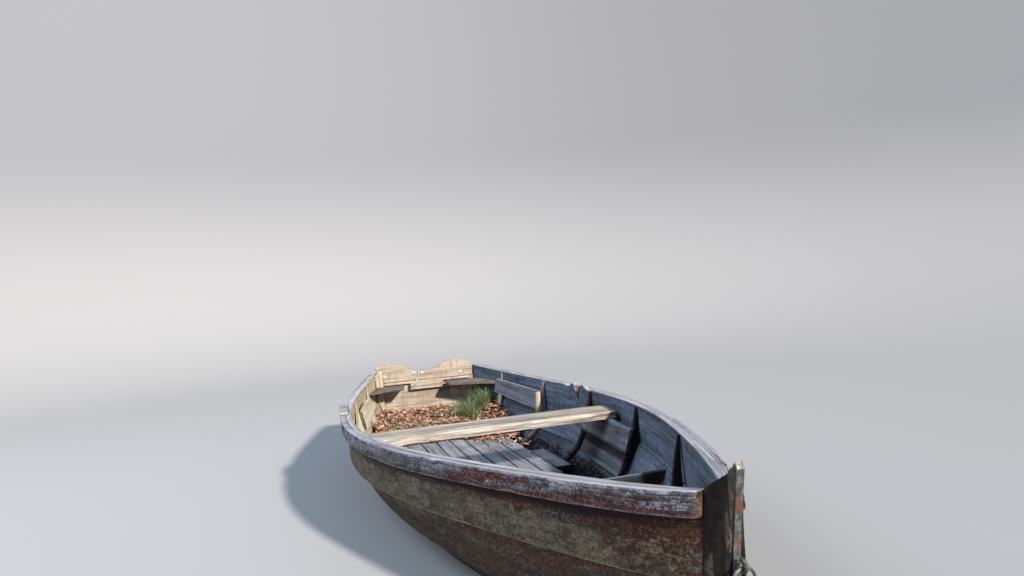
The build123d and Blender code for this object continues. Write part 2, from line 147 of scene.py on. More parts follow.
def corners8(verts, axis, tol=0.34):
    """The eight corners of a board from its points: two rings of four, at the
    low and the high end of the axis, in the same order round it."""
    v = np.array(verts, float)
    lo, hi = v.min(0), v.max(0)
    n = (v - (lo + hi) / 2) / np.maximum(hi - lo, 1e-6)
    a, b = [i for i in range(3) if i != axis]
    rings = []
    for end in (-1, 1):
        near = n[:, axis] * end
        pick = v[near > near.max() - tol]
        m = n[near > near.max() - tol]
        lo2, hi2 = m.min(0), m.max(0)
        q = (m - (lo2 + hi2) / 2) / np.maximum(hi2 - lo2, 1e-6)
        ring = []
        for sa, sb in ((-1, -1), (1, -1), (1, 1), (-1, 1)):
            ring.append(pick[np.argmax(q[:, a] * sa + q[:, b] * sb
                                       + 0.2 * q[:, axis] * end)])
        rings.append(np.array(ring))
    return rings


def loose_parts(node):
    bm = cad_points(node)
    seen, out = set(), []
    for v in bm.verts:
        if v in seen:
            continue
        stack, group = [v], []
        seen.add(v)
        while stack:
            c = stack.pop()
            group.append(tuple(c.co))
            for e in c.link_edges:
                w = e.other_vert(c)
                if w not in seen:
                    seen.add(w)
                    stack.append(w)
        out.append(np.array(group))
    bm.free()
    return out


# =============================================================== cubic curves
def spline(x, y, q):
    """Natural cubic through (x, y), with y in columns, at q."""
    x, y, q = np.asarray(x, float), np.asarray(y, float), np.asarray(q, float)
    if y.ndim == 1:
        y = y[:, None]
    n = len(x)
    h = np.diff(x)
    A = np.zeros((n, n))
    B = np.zeros((n, y.shape[1]))
    A[0, 0] = A[-1, -1] = 1
    for i in range(1, n - 1):
        A[i, i - 1], A[i, i], A[i, i + 1] = h[i - 1], 2 * (h[i - 1] + h[i]), h[i]
        B[i] = 6 * ((y[i + 1] - y[i]) / h[i] - (y[i] - y[i - 1]) / h[i - 1])
    M = np.linalg.solve(A, B)
    i = np.clip(np.searchsorted(x, q) - 1, 0, n - 2)
    a, b = (x[i + 1] - q)[:, None], (q - x[i])[:, None]
    hh = h[i][:, None]
    return (M[i] * a ** 3 + M[i + 1] * b ** 3) / (6 * hh) + (
        y[i] / hh - M[i] * hh / 6) * a + (y[i + 1] / hh - M[i + 1] * hh / 6) * b


def stations(length, step, fine=(), near=0.012):
    """Distances along a board: a fixed step, closer at both ends, and closer
    within the spans of fine, given as (from, to, step)."""
    s = set(np.round(np.linspace(0, length, max(3, int(length / step) + 1)), 6))
    for f0, f1, fs in fine:
        s = {v for v in s if v < f0 or v > f1}
        s |= set(np.round(np.arange(f0, f1 + fs / 2, fs), 6))
    for e in (0.0, 0.0012, 0.0035, 0.008):
        s |= {e, round(length - e, 6)}
    s = sorted(v for v in s if 0 <= v <= length + 1e-9)
    out = [s[0]]
    for v in s[1:]:
        if v - out[-1] > 0.0009:
            out.append(v)
    if out[-1] != s[-1]:
        out[-1] = s[-1]
    return np.array(out)


# =============================================================== timber
def make_mesh(name, verts, quads, ngons=(), smooth=True):
    me = bpy.data.meshes.new(name)
    nq, corners = len(quads), list(map(len, ngons))
    me.vertices.add(len(verts))
    me.vertices.foreach_set("co", np.asarray(verts, np.float32).ravel())
    loops = np.concatenate([np.asarray(quads, np.int32).ravel()]
                           + [np.asarray(g, np.int32) for g in ngons])
    me.loops.add(len(loops))
    me.loops.foreach_set("vertex_index", loops)
    starts = np.concatenate([np.arange(nq) * 4,
                             nq * 4 + np.cumsum([0] + corners[:-1])
                             if corners else []]).astype(np.int32)
    me.polygons.add(nq + len(ngons))
    me.polygons.foreach_set("loop_start", starts)
    me.update(calc_edges=True)
    me.polygons.foreach_set("use_smooth",
                            np.array([smooth] * nq + [False] * len(ngons)))
    return me


def set_attr(me, name, kind, domain, values):
    a = me.attributes.new(name, kind, domain)
    key = {"FLOAT": "value", "FLOAT_VECTOR": "vector", "FLOAT_COLOR": "color"}[kind]
    a.data.foreach_set(key, np.asarray(values, np.float32).ravel())


def link(name, me, mats, body="hull", slot=None, nodes=()):
    ob = bpy.data.objects.new(name, me)
    COLL.objects.link(ob)
    for m in mats:
        me.materials.append(m)
    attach(ob, body)
    if nodes:
        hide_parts(*nodes)
    return ob


class Buf:
    """Mesh parts that are gathered into one piece."""

    def __init__(self):
        self.v, self.q, self.n = [], [], []
        self.gr, self.sd, self.mk, self.end, self.uv = [], [], [], [], []
        self.mat, self.nmat, self.count = [], [], 0
        self.ngr, self.nsd, self.nend, self.nuv = [], [], [], []

    def finish(self, name, mats, **kw):
        V = np.concatenate(self.v)
        Q = np.concatenate(self.q)
        me = make_mesh(name, V, Q, self.n)
        gr = np.concatenate([np.concatenate(self.gr).reshape(-1, 3)] + self.ngr)
        sd = np.concatenate([np.concatenate(self.sd).reshape(-1, 3)] + self.nsd)
        en = np.concatenate([np.concatenate(self.end).ravel()] + self.nend)
        set_attr(me, "gr", "FLOAT_VECTOR", "CORNER", gr)
        set_attr(me, "sd", "FLOAT_VECTOR", "CORNER", sd)
        set_attr(me, "endg", "FLOAT", "CORNER", en)
        set_attr(me, "mk", "FLOAT_COLOR", "POINT", np.concatenate(self.mk))
        me.polygons.foreach_set("material_index", np.concatenate(
            [np.concatenate(self.mat), np.array(self.nmat, int)]).astype(np.int32))
        return link(name, me, mats, **kw)


def timber(buf, C, s, radii=0.003, div=None, seed=0, cracks=(), side_mat=None,
           rows=0.006, amp=1.0, chip=1.0, end_round=0.003, mask=None, arc=3,
           end_mat=0, ragged=0.0015, t0=0.0, s0=0.0, warp=0.0, grain=None):
    """One weathered board. C is (stations, corners, 3) and s the distance of
    each station along it. Worn edges, grain ridges, chips and open cracks are
    in the mesh."""
    S, K = C.shape[:2]
    s = np.asarray(s, float)
    Ls = s[-1]
    side = np.linalg.norm(np.roll(C, -1, 1) - C, axis=2)       # (S,K)
    nxt = (np.roll(C, -1, 1) - C) / np.maximum(side, 1e-6)[..., None]
    prv = np.roll(nxt, 1, 1)
    r = np.full((S, K), 1.0) * np.asarray(radii)
    for k in range(K):
        ch = noise(s * 5.3 + 31.7 * k, seed * 1.37, 0, 11 + seed)
        ch2 = noise(s * 22.0 + 5.1 * k, seed * 0.71, 0, 12 + seed)
        r[:, k] *= 1 + 0.55 * ch2
        r[:, k] += chip * 0.008 * np.clip(ch + 0.35 * ch2 - 0.52, 0, 1) * 2.0
    r = np.minimum(r, 0.42 * np.minimum(side, np.roll(side, 1, 1)))
    pts, depth, ids, frac = [], [], [], []
    for k in range(K):
        rk = r[:, k][:, None]
        a, b, c = C[:, k] - prv[:, k] * rk, C[:, k] + nxt[:, k] * rk, C[:, k]
        for i in range(arc + 1):
            u = i / arc
            pts.append((1 - u) ** 2 * a + 2 * u * (1 - u) * c + u * u * b)
            depth.append(np.zeros(S))
            ids.append(k if u > 0.5 else (k - 1) % K)
            frac.append(0.0 if u > 0.5 else 1.0)
        k1 = (k + 1) % K
        A = b
        B = C[:, k1] - nxt[:, k] * r[:, k1][:, None]
        length = np.linalg.norm(B - A, axis=1)
        mean = max(length.mean(), 1e-4)
        n = div[k] if div else max(2, int(round(mean / rows)))
        F = [np.full(S, j / n) for j in range(1, n)]
        D = [np.zeros(S) for _ in F]
        for ci, cr in enumerate(cracks):
            if cr["side"] != k:
                continue
            path = cr["v"] + cr.get("wander", 0.006) / mean * fbm(
                s * 2.6, cr["v"] * 40 + ci * 3.3, 0, 77 + seed, 3)
            path = path + cr.get("slope", 0.0) * (s - s.mean()) / mean
            on = sstep(cr["s0"] - 0.001, cr["s0"] + cr.get("taper", 0.12), s) * (
                1 - sstep(cr["s1"] - cr.get("taper", 0.12), cr["s1"] + 0.001, s))
            rough = 0.75 + 0.5 * noise(s * 14, ci * 2.2, 0, 5 + seed)
            w = np.maximum(0.00025, cr["w"] * on * rough) / mean
            lo = (path - 2.4 * w).min() - 0.25 / n
            hi = (path + 2.4 * w).max() + 0.25 / n
            keep = [i for i, f in enumerate(F) if not lo < f.mean() < hi
                    or D[i].any()]
            F, D = [F[i] for i in keep], [D[i] for i in keep]
            d = cr["d"] * on * (0.8 + 0.3 * rough)
            for off, dd in ((-1.7, 0), (-0.55, 0.12), (0, 1), (0.55, 0.12),
                            (1.7, 0)):
                F.append(np.clip(path + off * w, 0.004, 0.996))
                D.append(d * dd)
        order = np.argsort([f.mean() for f in F])
        last = np.zeros(S)
        for i in order:
            f = np.minimum(np.maximum(F[i], last + 1e-4), 0.999)
            last = f
            pts.append(A + (B - A) * f[:, None])
            depth.append(D[i])
            ids.append(k)
            frac.append(f.mean())
    P = np.stack(pts, 1)                                       # (S,N,3)
    D = np.stack(depth, 1)
    ids, frac = np.array(ids), np.array(frac)
    N = P.shape[1]
    step = np.linalg.norm(np.roll(P, -1, 1) - P, axis=2).mean(0)
    t = np.concatenate([[0], np.cumsum(step)])
    peri = t[-1]

    def normals(P):
        dS = np.gradient(P, axis=0)
        dT = np.roll(P, -1, 1) - np.roll(P, 1, 1)
        n = np.cross(dS, dT)
        n /= np.maximum(np.linalg.norm(n, axis=2, keepdims=True), 1e-12)
        out = P - P.mean(1, keepdims=True)
        return n if (n * out).sum() > 0 else -n

    nrm = normals(P)
    ss, tt = np.meshgrid(s, t[:-1], indexing="ij")
    h = 0.0
    h = h + 0.00035 * amp * fbm(ss * 7, tt * 85, seed * 3.1, 21, 3)
    h = h - 0.0006 * amp * np.clip(noise(ss * 4, tt * 55, seed, 23) - 0.35, 0, 1) * 2
    h = h + 0.0009 * amp * noise(ss * 2.1, tt * 14, seed * 2.2, 22)
    # rounded ends
    if end_round:
        for dist in (s, Ls - s):
            u = np.clip(dist / end_round, 0, 1)
            h = h - (end_round * 0.8 * (1 - np.sqrt(1 - (1 - u) ** 2)))[:, None]
    P = P + nrm * (h - D)[..., None]
    if warp:
        mid = side[:, 0].mean()
        P = P + nrm.mean(1, keepdims=True) * 0
        P[..., 2] += warp * (noise(ss * 1.1, seed, 0, 31) + 0.5 * noise(
            ss * 2.7, tt * 3, seed, 32))
    # uneven ends
    if ragged:
        ax = C[-1].mean(0) - C[0].mean(0)
        ax /= np.linalg.norm(ax)
        for idx, sign in ((0, 1), (-1, -1)):
            rag = ragged * (0.6 + 0.8 * noise(tt[0] * 160, seed, 3, 41)
                            + 0.5 * noise(tt[0] * 40, seed, 9, 42))
            for j, share in ((0, 1.0), (1, 0.8), (2, 0.5)):
                i = idx + sign * j
                P[i] += ax[None] * sign * (rag * share)[:, None]
    # faces
    i, j = np.meshgrid(np.arange(S - 1), np.arange(N), indexing="ij")
    j1 = (j + 1) % N
    base = buf.count
    quads = np.stack([i * N + j, i * N + j1, (i + 1) * N + j1, (i + 1) * N + j],
                     -1).reshape(-1, 4)
    p = P.reshape(-1, 3)
    # outward facing
    mid = len(quads) // 2
    f = p[quads]
    fn = np.cross(f[:, 1] - f[:, 0], f[:, 3] - f[:, 0])
    flip = (fn * nrm.reshape(-1, 3)[quads[:, 0]]).sum() < 0
    tj = np.stack([t[j], t[j + 1], t[j + 1], t[j]], -1).reshape(-1, 4) + t0
    sj = np.stack([s[i], s[i], s[i + 1], s[i + 1]], -1).reshape(-1, 4) + s0
    if grain is None:
        gr = np.stack([sj, tj, np.full_like(sj, seed)], -1)
    else:
        gr = grain(p[quads].reshape(-1, 3)).reshape(-1, 4, 3)
        gr[..., 2] = seed
    fid = ids[j].reshape(-1)
    # a face takes the side of the ring point that isn't at a corner's end
    first, lastv = {}, {}
    for k in range(K):
        sel = np.where(ids == k)[0]
        tk = t[sel]
        if k == K - 1:
            tk = np.where(tk < peri * 0.1, tk + peri, tk)
        first[k], lastv[k] = tk.min(), max(tk.max(), tk.min() + 1e-4)
    f0 = np.array([first[k] for k in fid])[:, None]
    f1 = np.array([lastv[k] for k in fid])[:, None]
    tq = np.stack([t[j], t[j + 1], t[j + 1], t[j]], -1).reshape(-1, 4)
    tq = np.where((fid == K - 1)[:, None] & (tq < peri * 0.1), tq + peri, tq)
    sd = np.stack([np.clip(tq - f0, 0, 9), np.clip(f1 - tq, 0, 9),
                   np.repeat(fid[:, None], 4, 1).astype(float)], -1)
    en = np.zeros((len(quads), 4))
    if flip:
        quads, gr, sd = quads[:, ::-1], gr[:, ::-1], sd[:, ::-1]
    buf.v.append(p)
    buf.q.append(quads + base)
    buf.gr.append(gr.reshape(-1, 3))
    buf.sd.append(sd.reshape(-1, 3))
    buf.end.append(en)
    mats = np.array(side_mat if side_mat else [0] * K)
    buf.mat.append(mats[fid])
    crack = np.clip(D / 0.003, 0, 1)
    info = dict(s=ss, t=tt, side=np.repeat(ids[None], S, 0),
                v=np.repeat(frac[None], S, 0), P=P, n=nrm, L=Ls, seed=seed)
    mk = np.zeros((S, N, 4))
    if mask is not None:
        for ch, val in mask(info).items():
            mk[..., "rgba".index(ch)] = val
    mk[..., 1] = np.clip(mk[..., 1] + crack, 0, 1)
    buf.mk.append(np.clip(mk, 0, 1).reshape(-1, 4))
    # end caps
    for idx, order in ((0, 1), (S - 1, -1)):
        ring = (idx * N + np.arange(N))[::order]
        if flip:
            ring = ring[::-1]
        buf.n.append(ring[::-1] + base)
        q = P.reshape(-1, 3)[ring[::-1]]
        c = q.mean(0)
        a1 = C[idx, 1] - C[idx, 0]
        a1 /= np.linalg.norm(a1) + 1e-9
        a3 = C[-1].mean(0) - C[0].mean(0)
        a2 = np.cross(a1, a3)
        a2 /= np.linalg.norm(a2) + 1e-9
        e = np.stack([(q - c) @ a1 * 0.25, (q - c) @ a2,
                      np.full(len(q), seed + 3.0)], 1)
        buf.ngr.append(e)
        buf.nsd.append(np.tile([0.01, 0.01, 9.0], (len(q), 1)))
        buf.nend.append(np.ones(len(q)))
        buf.nmat.append(end_mat)
    buf.count += len(p)
    return info


def board(buf, ring0, ring1, step=0.02, fine=(), **kw):
    """A straight board between two rings of corners."""
    r0, r1 = np.asarray(ring0, float), np.asarray(ring1, float)
    L = float(np.linalg.norm(r1.mean(0) - r0.mean(0)))
    s = stations(L, step, fine)
    u = (s / L)[:, None, None]
    return timber(buf, r0[None] * (1 - u) + r1[None] * u, s, **kw)


# ============================================================ node helpers
class Tree:
    def __init__(self, name):
        self.mat = bpy.data.materials.new(name)
        self.mat.use_nodes = True
        self.nt = self.mat.node_tree
        self.nt.nodes.clear()
        self.out = self.add("ShaderNodeOutputMaterial")
        self.bsdf = self.add("ShaderNodeBsdfPrincipled")
        self.nt.links.new(self.bsdf.outputs["BSDF"], self.out.inputs["Surface"])

    def add(self, kind, **kw):
        n = self.nt.nodes.new(kind)
        for k, v in kw.items():
            setattr(n, k, v)
        return n

    def put(self, socket, value):
        if isinstance(value, bpy.types.NodeSocket):
            self.nt.links.new(value, socket)
        elif value is not None:
            socket.default_value = value

    def attr(self, name, out="Vector"):
        n = self.add("ShaderNodeAttribute", attribute_name=name)
        return n.outputs[out]

    def sep(self, v):
        n = self.add("ShaderNodeSeparateXYZ")
        self.put(n.inputs[0], v)
        return n.outputs[0], n.outputs[1], n.outputs[2]

    def rgb(self, v):
        n = self.add("ShaderNodeSeparateColor")
        self.put(n.inputs[0], v)
        return n.outputs[0], n.outputs[1], n.outputs[2]

    def vec(self, x, y, z):
        n = self.add("ShaderNodeCombineXYZ")
        for i, v in enumerate((x, y, z)):
            self.put(n.inputs[i], v)
        return n.outputs[0]

    def math(self, op, a, b=None, c=None, clamp=False):
        n = self.add("ShaderNodeMath", operation=op, use_clamp=clamp)
        for i, v in enumerate((a, b, c)):
            if v is not None:
                self.put(n.inputs[i], v)
        return n.outputs[0]

    def noise(self, vec, scale=1.0, detail=3.0, rough=0.55, dist=0.0):
        n = self.add("ShaderNodeTexNoise")
        self.put(n.inputs["Vector"], vec)
        n.inputs["Scale"].default_value = scale
        n.inputs["Detail"].default_value = detail
        n.inputs["Roughness"].default_value = rough
        n.inputs["Distortion"].default_value = dist
        return n.outputs["Fac"]

    def vor(self, vec, scale=1.0, feature="F1", out="Distance"):
        n = self.add("ShaderNodeTexVoronoi", feature=feature)
        self.put(n.inputs["Vector"], vec)
        n.inputs["Scale"].default_value = scale
        return n.outputs[out]

    def map(self, v, a, b, c=0.0, d=1.0, smooth=True):
        n = self.add("ShaderNodeMapRange")
        n.interpolation_type = "SMOOTHSTEP" if smooth else "LINEAR"
        self.put(n.inputs[0], v)
        for i, x in enumerate((a, b, c, d)):
            self.put(n.inputs[i + 1], x)
        return n.outputs[0]

    def ramp(self, v, stops):
        n = self.add("ShaderNodeValToRGB")
        els = n.color_ramp.elements
        while len(els) < len(stops):
            els.new(0.5)
        for e, (pos, col) in zip(els, stops):
            e.position = pos
            e.color = (*col, 1)
        self.put(n.inputs[0], v)
        return n.outputs[0]

    def mix(self, fac, a, b, mode="MIX"):
        n = self.add("ShaderNodeMix", data_type="RGBA", blend_type=mode)
        self.put(n.inputs[0], fac)
        for sock, v in ((n.inputs[6], a), (n.inputs[7], b)):
            if isinstance(v, tuple):
                v = (*v, 1)
            self.put(sock, v)
        return n.outputs[2]

    def bump(self, height, dist, strength=1.0, normal=None):
        n = self.add("ShaderNodeBump")
        n.inputs["Distance"].default_value = dist
        n.inputs["Strength"].default_value = strength
        self.put(n.inputs["Height"], height)
        if normal is not None:
            self.put(n.inputs["Normal"], normal)
        return n.outputs[0]

    def done(self, color, rough, normal=None, spec=0.3, metal=None):
        self.put(self.bsdf.inputs["Base Color"], color)
        self.put(self.bsdf.inputs["Roughness"], rough)
        if normal is not None:
            self.put(self.bsdf.inputs["Normal"], normal)
        self.bsdf.inputs["Specular IOR Level"].default_value = spec
        if metal is not None:
            self.put(self.bsdf.inputs["Metallic"], metal)
        return self.mat


def lin(r, g, b):
    """sRGB 0-255 to linear."""
    def f(c):
        c = c / 255
        return c / 12.92 if c <= 0.04045 else ((c + 0.055) / 1.055) ** 2.4
    return (f(r), f(g), f(b))


def wood_coords(T, stretch=1.0):
    s, t, q = T.sep(T.attr("gr"))
    off = T.math("MULTIPLY", q, 7.31)
    fibre = T.noise(T.vec(T.math("MULTIPLY", s, 5.0 * stretch),
                          T.math("MULTIPLY", t, 260.0), off), 1.0, 4.0, 0.6)
    streak = T.noise(T.vec(T.math("MULTIPLY", s, 1.6 * stretch),
                           T.math("MULTIPLY", t, 48.0),
                           T.math("ADD", off, 11.0)), 1.0, 3.0, 0.55, 0.6)
    band = T.noise(T.vec(T.math("MULTIPLY", s, 0.9 * stretch),
                         T.math("MULTIPLY", t, 13.0),
                         T.math("ADD", off, 23.0)), 1.0, 2.0, 0.5, 0.9)
    blotch = T.noise(T.vec(T.math("MULTIPLY", s, 7.0),
                           T.math("MULTIPLY", t, 9.0),
                           T.math("ADD", off, 5.0)), 1.0, 5.0, 0.62)
    ck = T.noise(T.vec(T.math("MULTIPLY", s, 2.4 * stretch),
                       T.math("MULTIPLY", t, 95.0),
                       T.math("ADD", off, 41.0)), 1.0, 2.0, 0.5, 0.35)
    line = T.math("ABSOLUTE", T.math("SUBTRACT", ck, 0.5))
    gate = T.map(T.noise(T.vec(T.math("MULTIPLY", s, 1.7), T.math(
        "MULTIPLY", t, 21.0), T.math("ADD", off, 61.0)), 1.0, 2.0), 0.46, 0.60)
    checks = T.math("MULTIPLY", T.map(line, 0.004, 0.017, 1.0, 0.0), gate)
    return dict(s=s, t=t, q=q, off=off, fibre=fibre, streak=streak, band=band,
                blotch=blotch, checks=checks)


def marks(T):
    n = T.add("ShaderNodeAttribute", attribute_name="mk")
    r, g, b = T.rgb(n.outputs["Color"])
    return r, g, b, n.outputs["Alpha"]


def bare_wood(T, W, dark, mid, light, contrast=1.0, warm=None):
    """Colour of bare weathered wood."""
    m = T.math("ADD", T.math("MULTIPLY", W["fibre"], 0.42),
               T.math("MULTIPLY", W["streak"], 0.36))
    m = T.math("ADD", m, T.math("MULTIPLY", W["band"], 0.22))
    m = T.map(m, 0.5 - 0.17 / contrast, 0.5 + 0.17 / contrast, 0.0, 1.0)
    col = T.ramp(m, [(0.0, dark), (0.42, mid), (1.0, light)])
    if warm is not None:
        col = T.mix(T.map(W["blotch"], 0.5, 0.68, 0.0, 0.75), col, warm)
    # boards differ from one to the next
    wn = T.add("ShaderNodeTexWhiteNoise", noise_dimensions="1D")
    T.put(wn.inputs["W"], T.math("ADD", W["q"], 3.7))
    col = T.mix(1.0, col, T.ramp(wn.outputs["Value"], [
        (0.0, (0.78, 0.78, 0.80)), (0.5, (1.0, 1.0, 1.0)),
        (1.0, (1.12, 1.08, 1.03))]), "MULTIPLY")
    return col


def mat_wood(name, dark, mid, light, contrast=1.0, warm=None, end=None,
             stain=None, ticks=False, bumps=1.0, moss=None, seam=0.0, drip=0.0,
             check=0.82):
    """Bare weathered wood. Marks: r stain, g dark (dirt, and painted shade in places),
    b pale (sun bleach, and painted sunlight in places), a moss.
    """
    T = Tree(name)
    W = wood_coords(T)
    mr, mg, mb, ma = marks(T)
    col = bare_wood(T, W, dark, mid, light, contrast, warm)
    # sun bleach, and in places painted sunlight, where b is high, broken up by the
    # grain
    pale = tuple(min(1.0, c * 1.55 + 0.03) for c in light)
    b = T.math("MULTIPLY", mb, T.map(W["streak"], 0.3, 0.62, 0.35, 1.0))
    col = T.mix(b, col, pale)
    # stains
    st = stain if stain is not None else lin(92, 58, 40)
    r = T.math("MULTIPLY", mr, T.map(W["blotch"], 0.40, 0.62, 0.15, 1.0))
    col = T.mix(T.math("MULTIPLY", r, 0.85, clamp=True), col, st)
    # moss and algae
    ms = moss if moss is not None else lin(96, 98, 58)
    a = T.math("MULTIPLY", ma, T.map(W["blotch"], 0.36, 0.58, 0.0, 1.0))
    col = T.mix(T.math("MULTIPLY", a, 0.8, clamp=True), col, ms)
    # edges: dirt just inside, bright worn arris
    d0, d1, sid = T.sep(T.attr("sd"))
    edge = T.math("MINIMUM", d0, d1)
    col = T.mix(T.map(edge, 0.0, 0.0045, 0.28, 0.0), col,
                tuple(min(1.0, c * 1.35) for c in light))
    if seam:
        col = T.mix(T.map(edge, 0.0008, 0.0052, seam, 0.0), col, lin(30, 28, 28))
    if drip:
        dn = T.noise(T.vec(T.math("MULTIPLY", W["s"], 42.0), T.math(
            "MULTIPLY", W["t"], 7.0), W["off"]), 1.0, 5.0, 0.7, 0.6)
        col = T.mix(T.map(dn, 0.50, 0.68, 0.0, drip), col, lin(104, 78, 60))
    # dark checks, cracks, end grain
    col = T.mix(T.math("MULTIPLY", W["checks"], check), col, lin(30, 26, 24))
    spots = T.map(T.vor(T.vec(T.math("MULTIPLY", W["s"], 1.0),
                              T.math("MULTIPLY", W["t"], 1.6), W["off"]), 55.0),
                  0.035, 0.10, 0.7, 0.0)
    sgate = T.map(W["blotch"], 0.52, 0.62, 0.0, 1.0)
    col = T.mix(T.math("MULTIPLY", spots, sgate), col, lin(38, 33, 30))
    en = T.attr("endg", "Fac")
    rings = T.noise(T.vec(T.math("MULTIPLY", W["s"], 420.0),
                          T.math("MULTIPLY", W["t"], 300.0), W["off"]), 1.0, 4.0)
    e = end if end is not None else tuple(c * 0.8 for c in mid)
    ecol = T.ramp(rings, [(0.3, tuple(c * 0.35 for c in e)), (0.52, e),
                          (0.75, tuple(min(1, c * 1.35) for c in e))])
    col = T.mix(en, col, ecol)
    if ticks:
        rn = T.noise(T.vec(T.math("MULTIPLY", W["s"], 64.0), T.math(
            "MULTIPLY", W["t"], 22.0), W["off"]), 1.0, 5.0, 0.72, 0.6)
        col = T.mix(T.map(rn, 0.50, 0.68, 0.0, 0.60), col, lin(50, 50, 54))
        col = T.mix(T.map(rn, 0.50, 0.32, 0.0, 0.45), col, light)
        col = T.mix(nail_streaks(T, W, d0, sid), col, lin(22, 20, 20))
    # dirt, and painted shade where the g mark carries it (shaded frame faces, riser
    # edges, the cross board's port part)
    grime_and_shade = T.map(T.math("ADD", mg, T.math("MULTIPLY", T.math(
        "SUBTRACT", W["blotch"], 0.5), 0.5)), 0.15, 0.95, 0.0, 1.0)
    col = T.mix(T.math("MULTIPLY", grime_and_shade, 0.93), col, lin(26, 21, 17))
    h = T.math("ADD", T.math("MULTIPLY", W["fibre"], 0.7),
               T.math("MULTIPLY", W["streak"], 0.5))
    h = T.math("SUBTRACT", h, T.math("MULTIPLY", W["checks"], 0.9))
    nrm = T.bump(h, 0.0011 * bumps, 1.0)
    rough = T.map(W["fibre"], 0.3, 0.7, 0.97, 0.78)
    return T.done(col, rough, nrm, spec=0.22)


def nail_streaks(T, W, d0, sid, pitch=0.05, reach=0.030):
    """Dark streaks that run down from each clench nail under a lap."""
    ph = T.math("FRACT", T.math("DIVIDE", W["s"], pitch))
    wob = T.math("MULTIPLY", T.math("SUBTRACT", T.noise(T.vec(T.math(
        "MULTIPLY", W["s"], 30.0), T.math("MULTIPLY", W["t"], 40.0), W["off"]),
        1.0, 2.0), 0.5), 0.16)
    off = T.math("ABSOLUTE", T.math("SUBTRACT", T.math("ADD", ph, wob), 0.5))
    line = T.map(off, 0.035, 0.13, 1.0, 0.0)
    vary = T.noise(T.vec(T.math("FLOOR", T.math("DIVIDE", W["s"], pitch)), 3.3,
                         W["off"]), 1.7, 0.0)
    down = T.map(T.math("SUBTRACT", d0, T.math("MULTIPLY", vary, 0.018)),
                 0.006, reach, 1.0, 0.0)
    inner = T.math("COMPARE", sid, 3.0, 0.1)
    return T.math("MULTIPLY", T.math("MULTIPLY", line, down),
                  T.math("MULTIPLY", inner, 0.85))


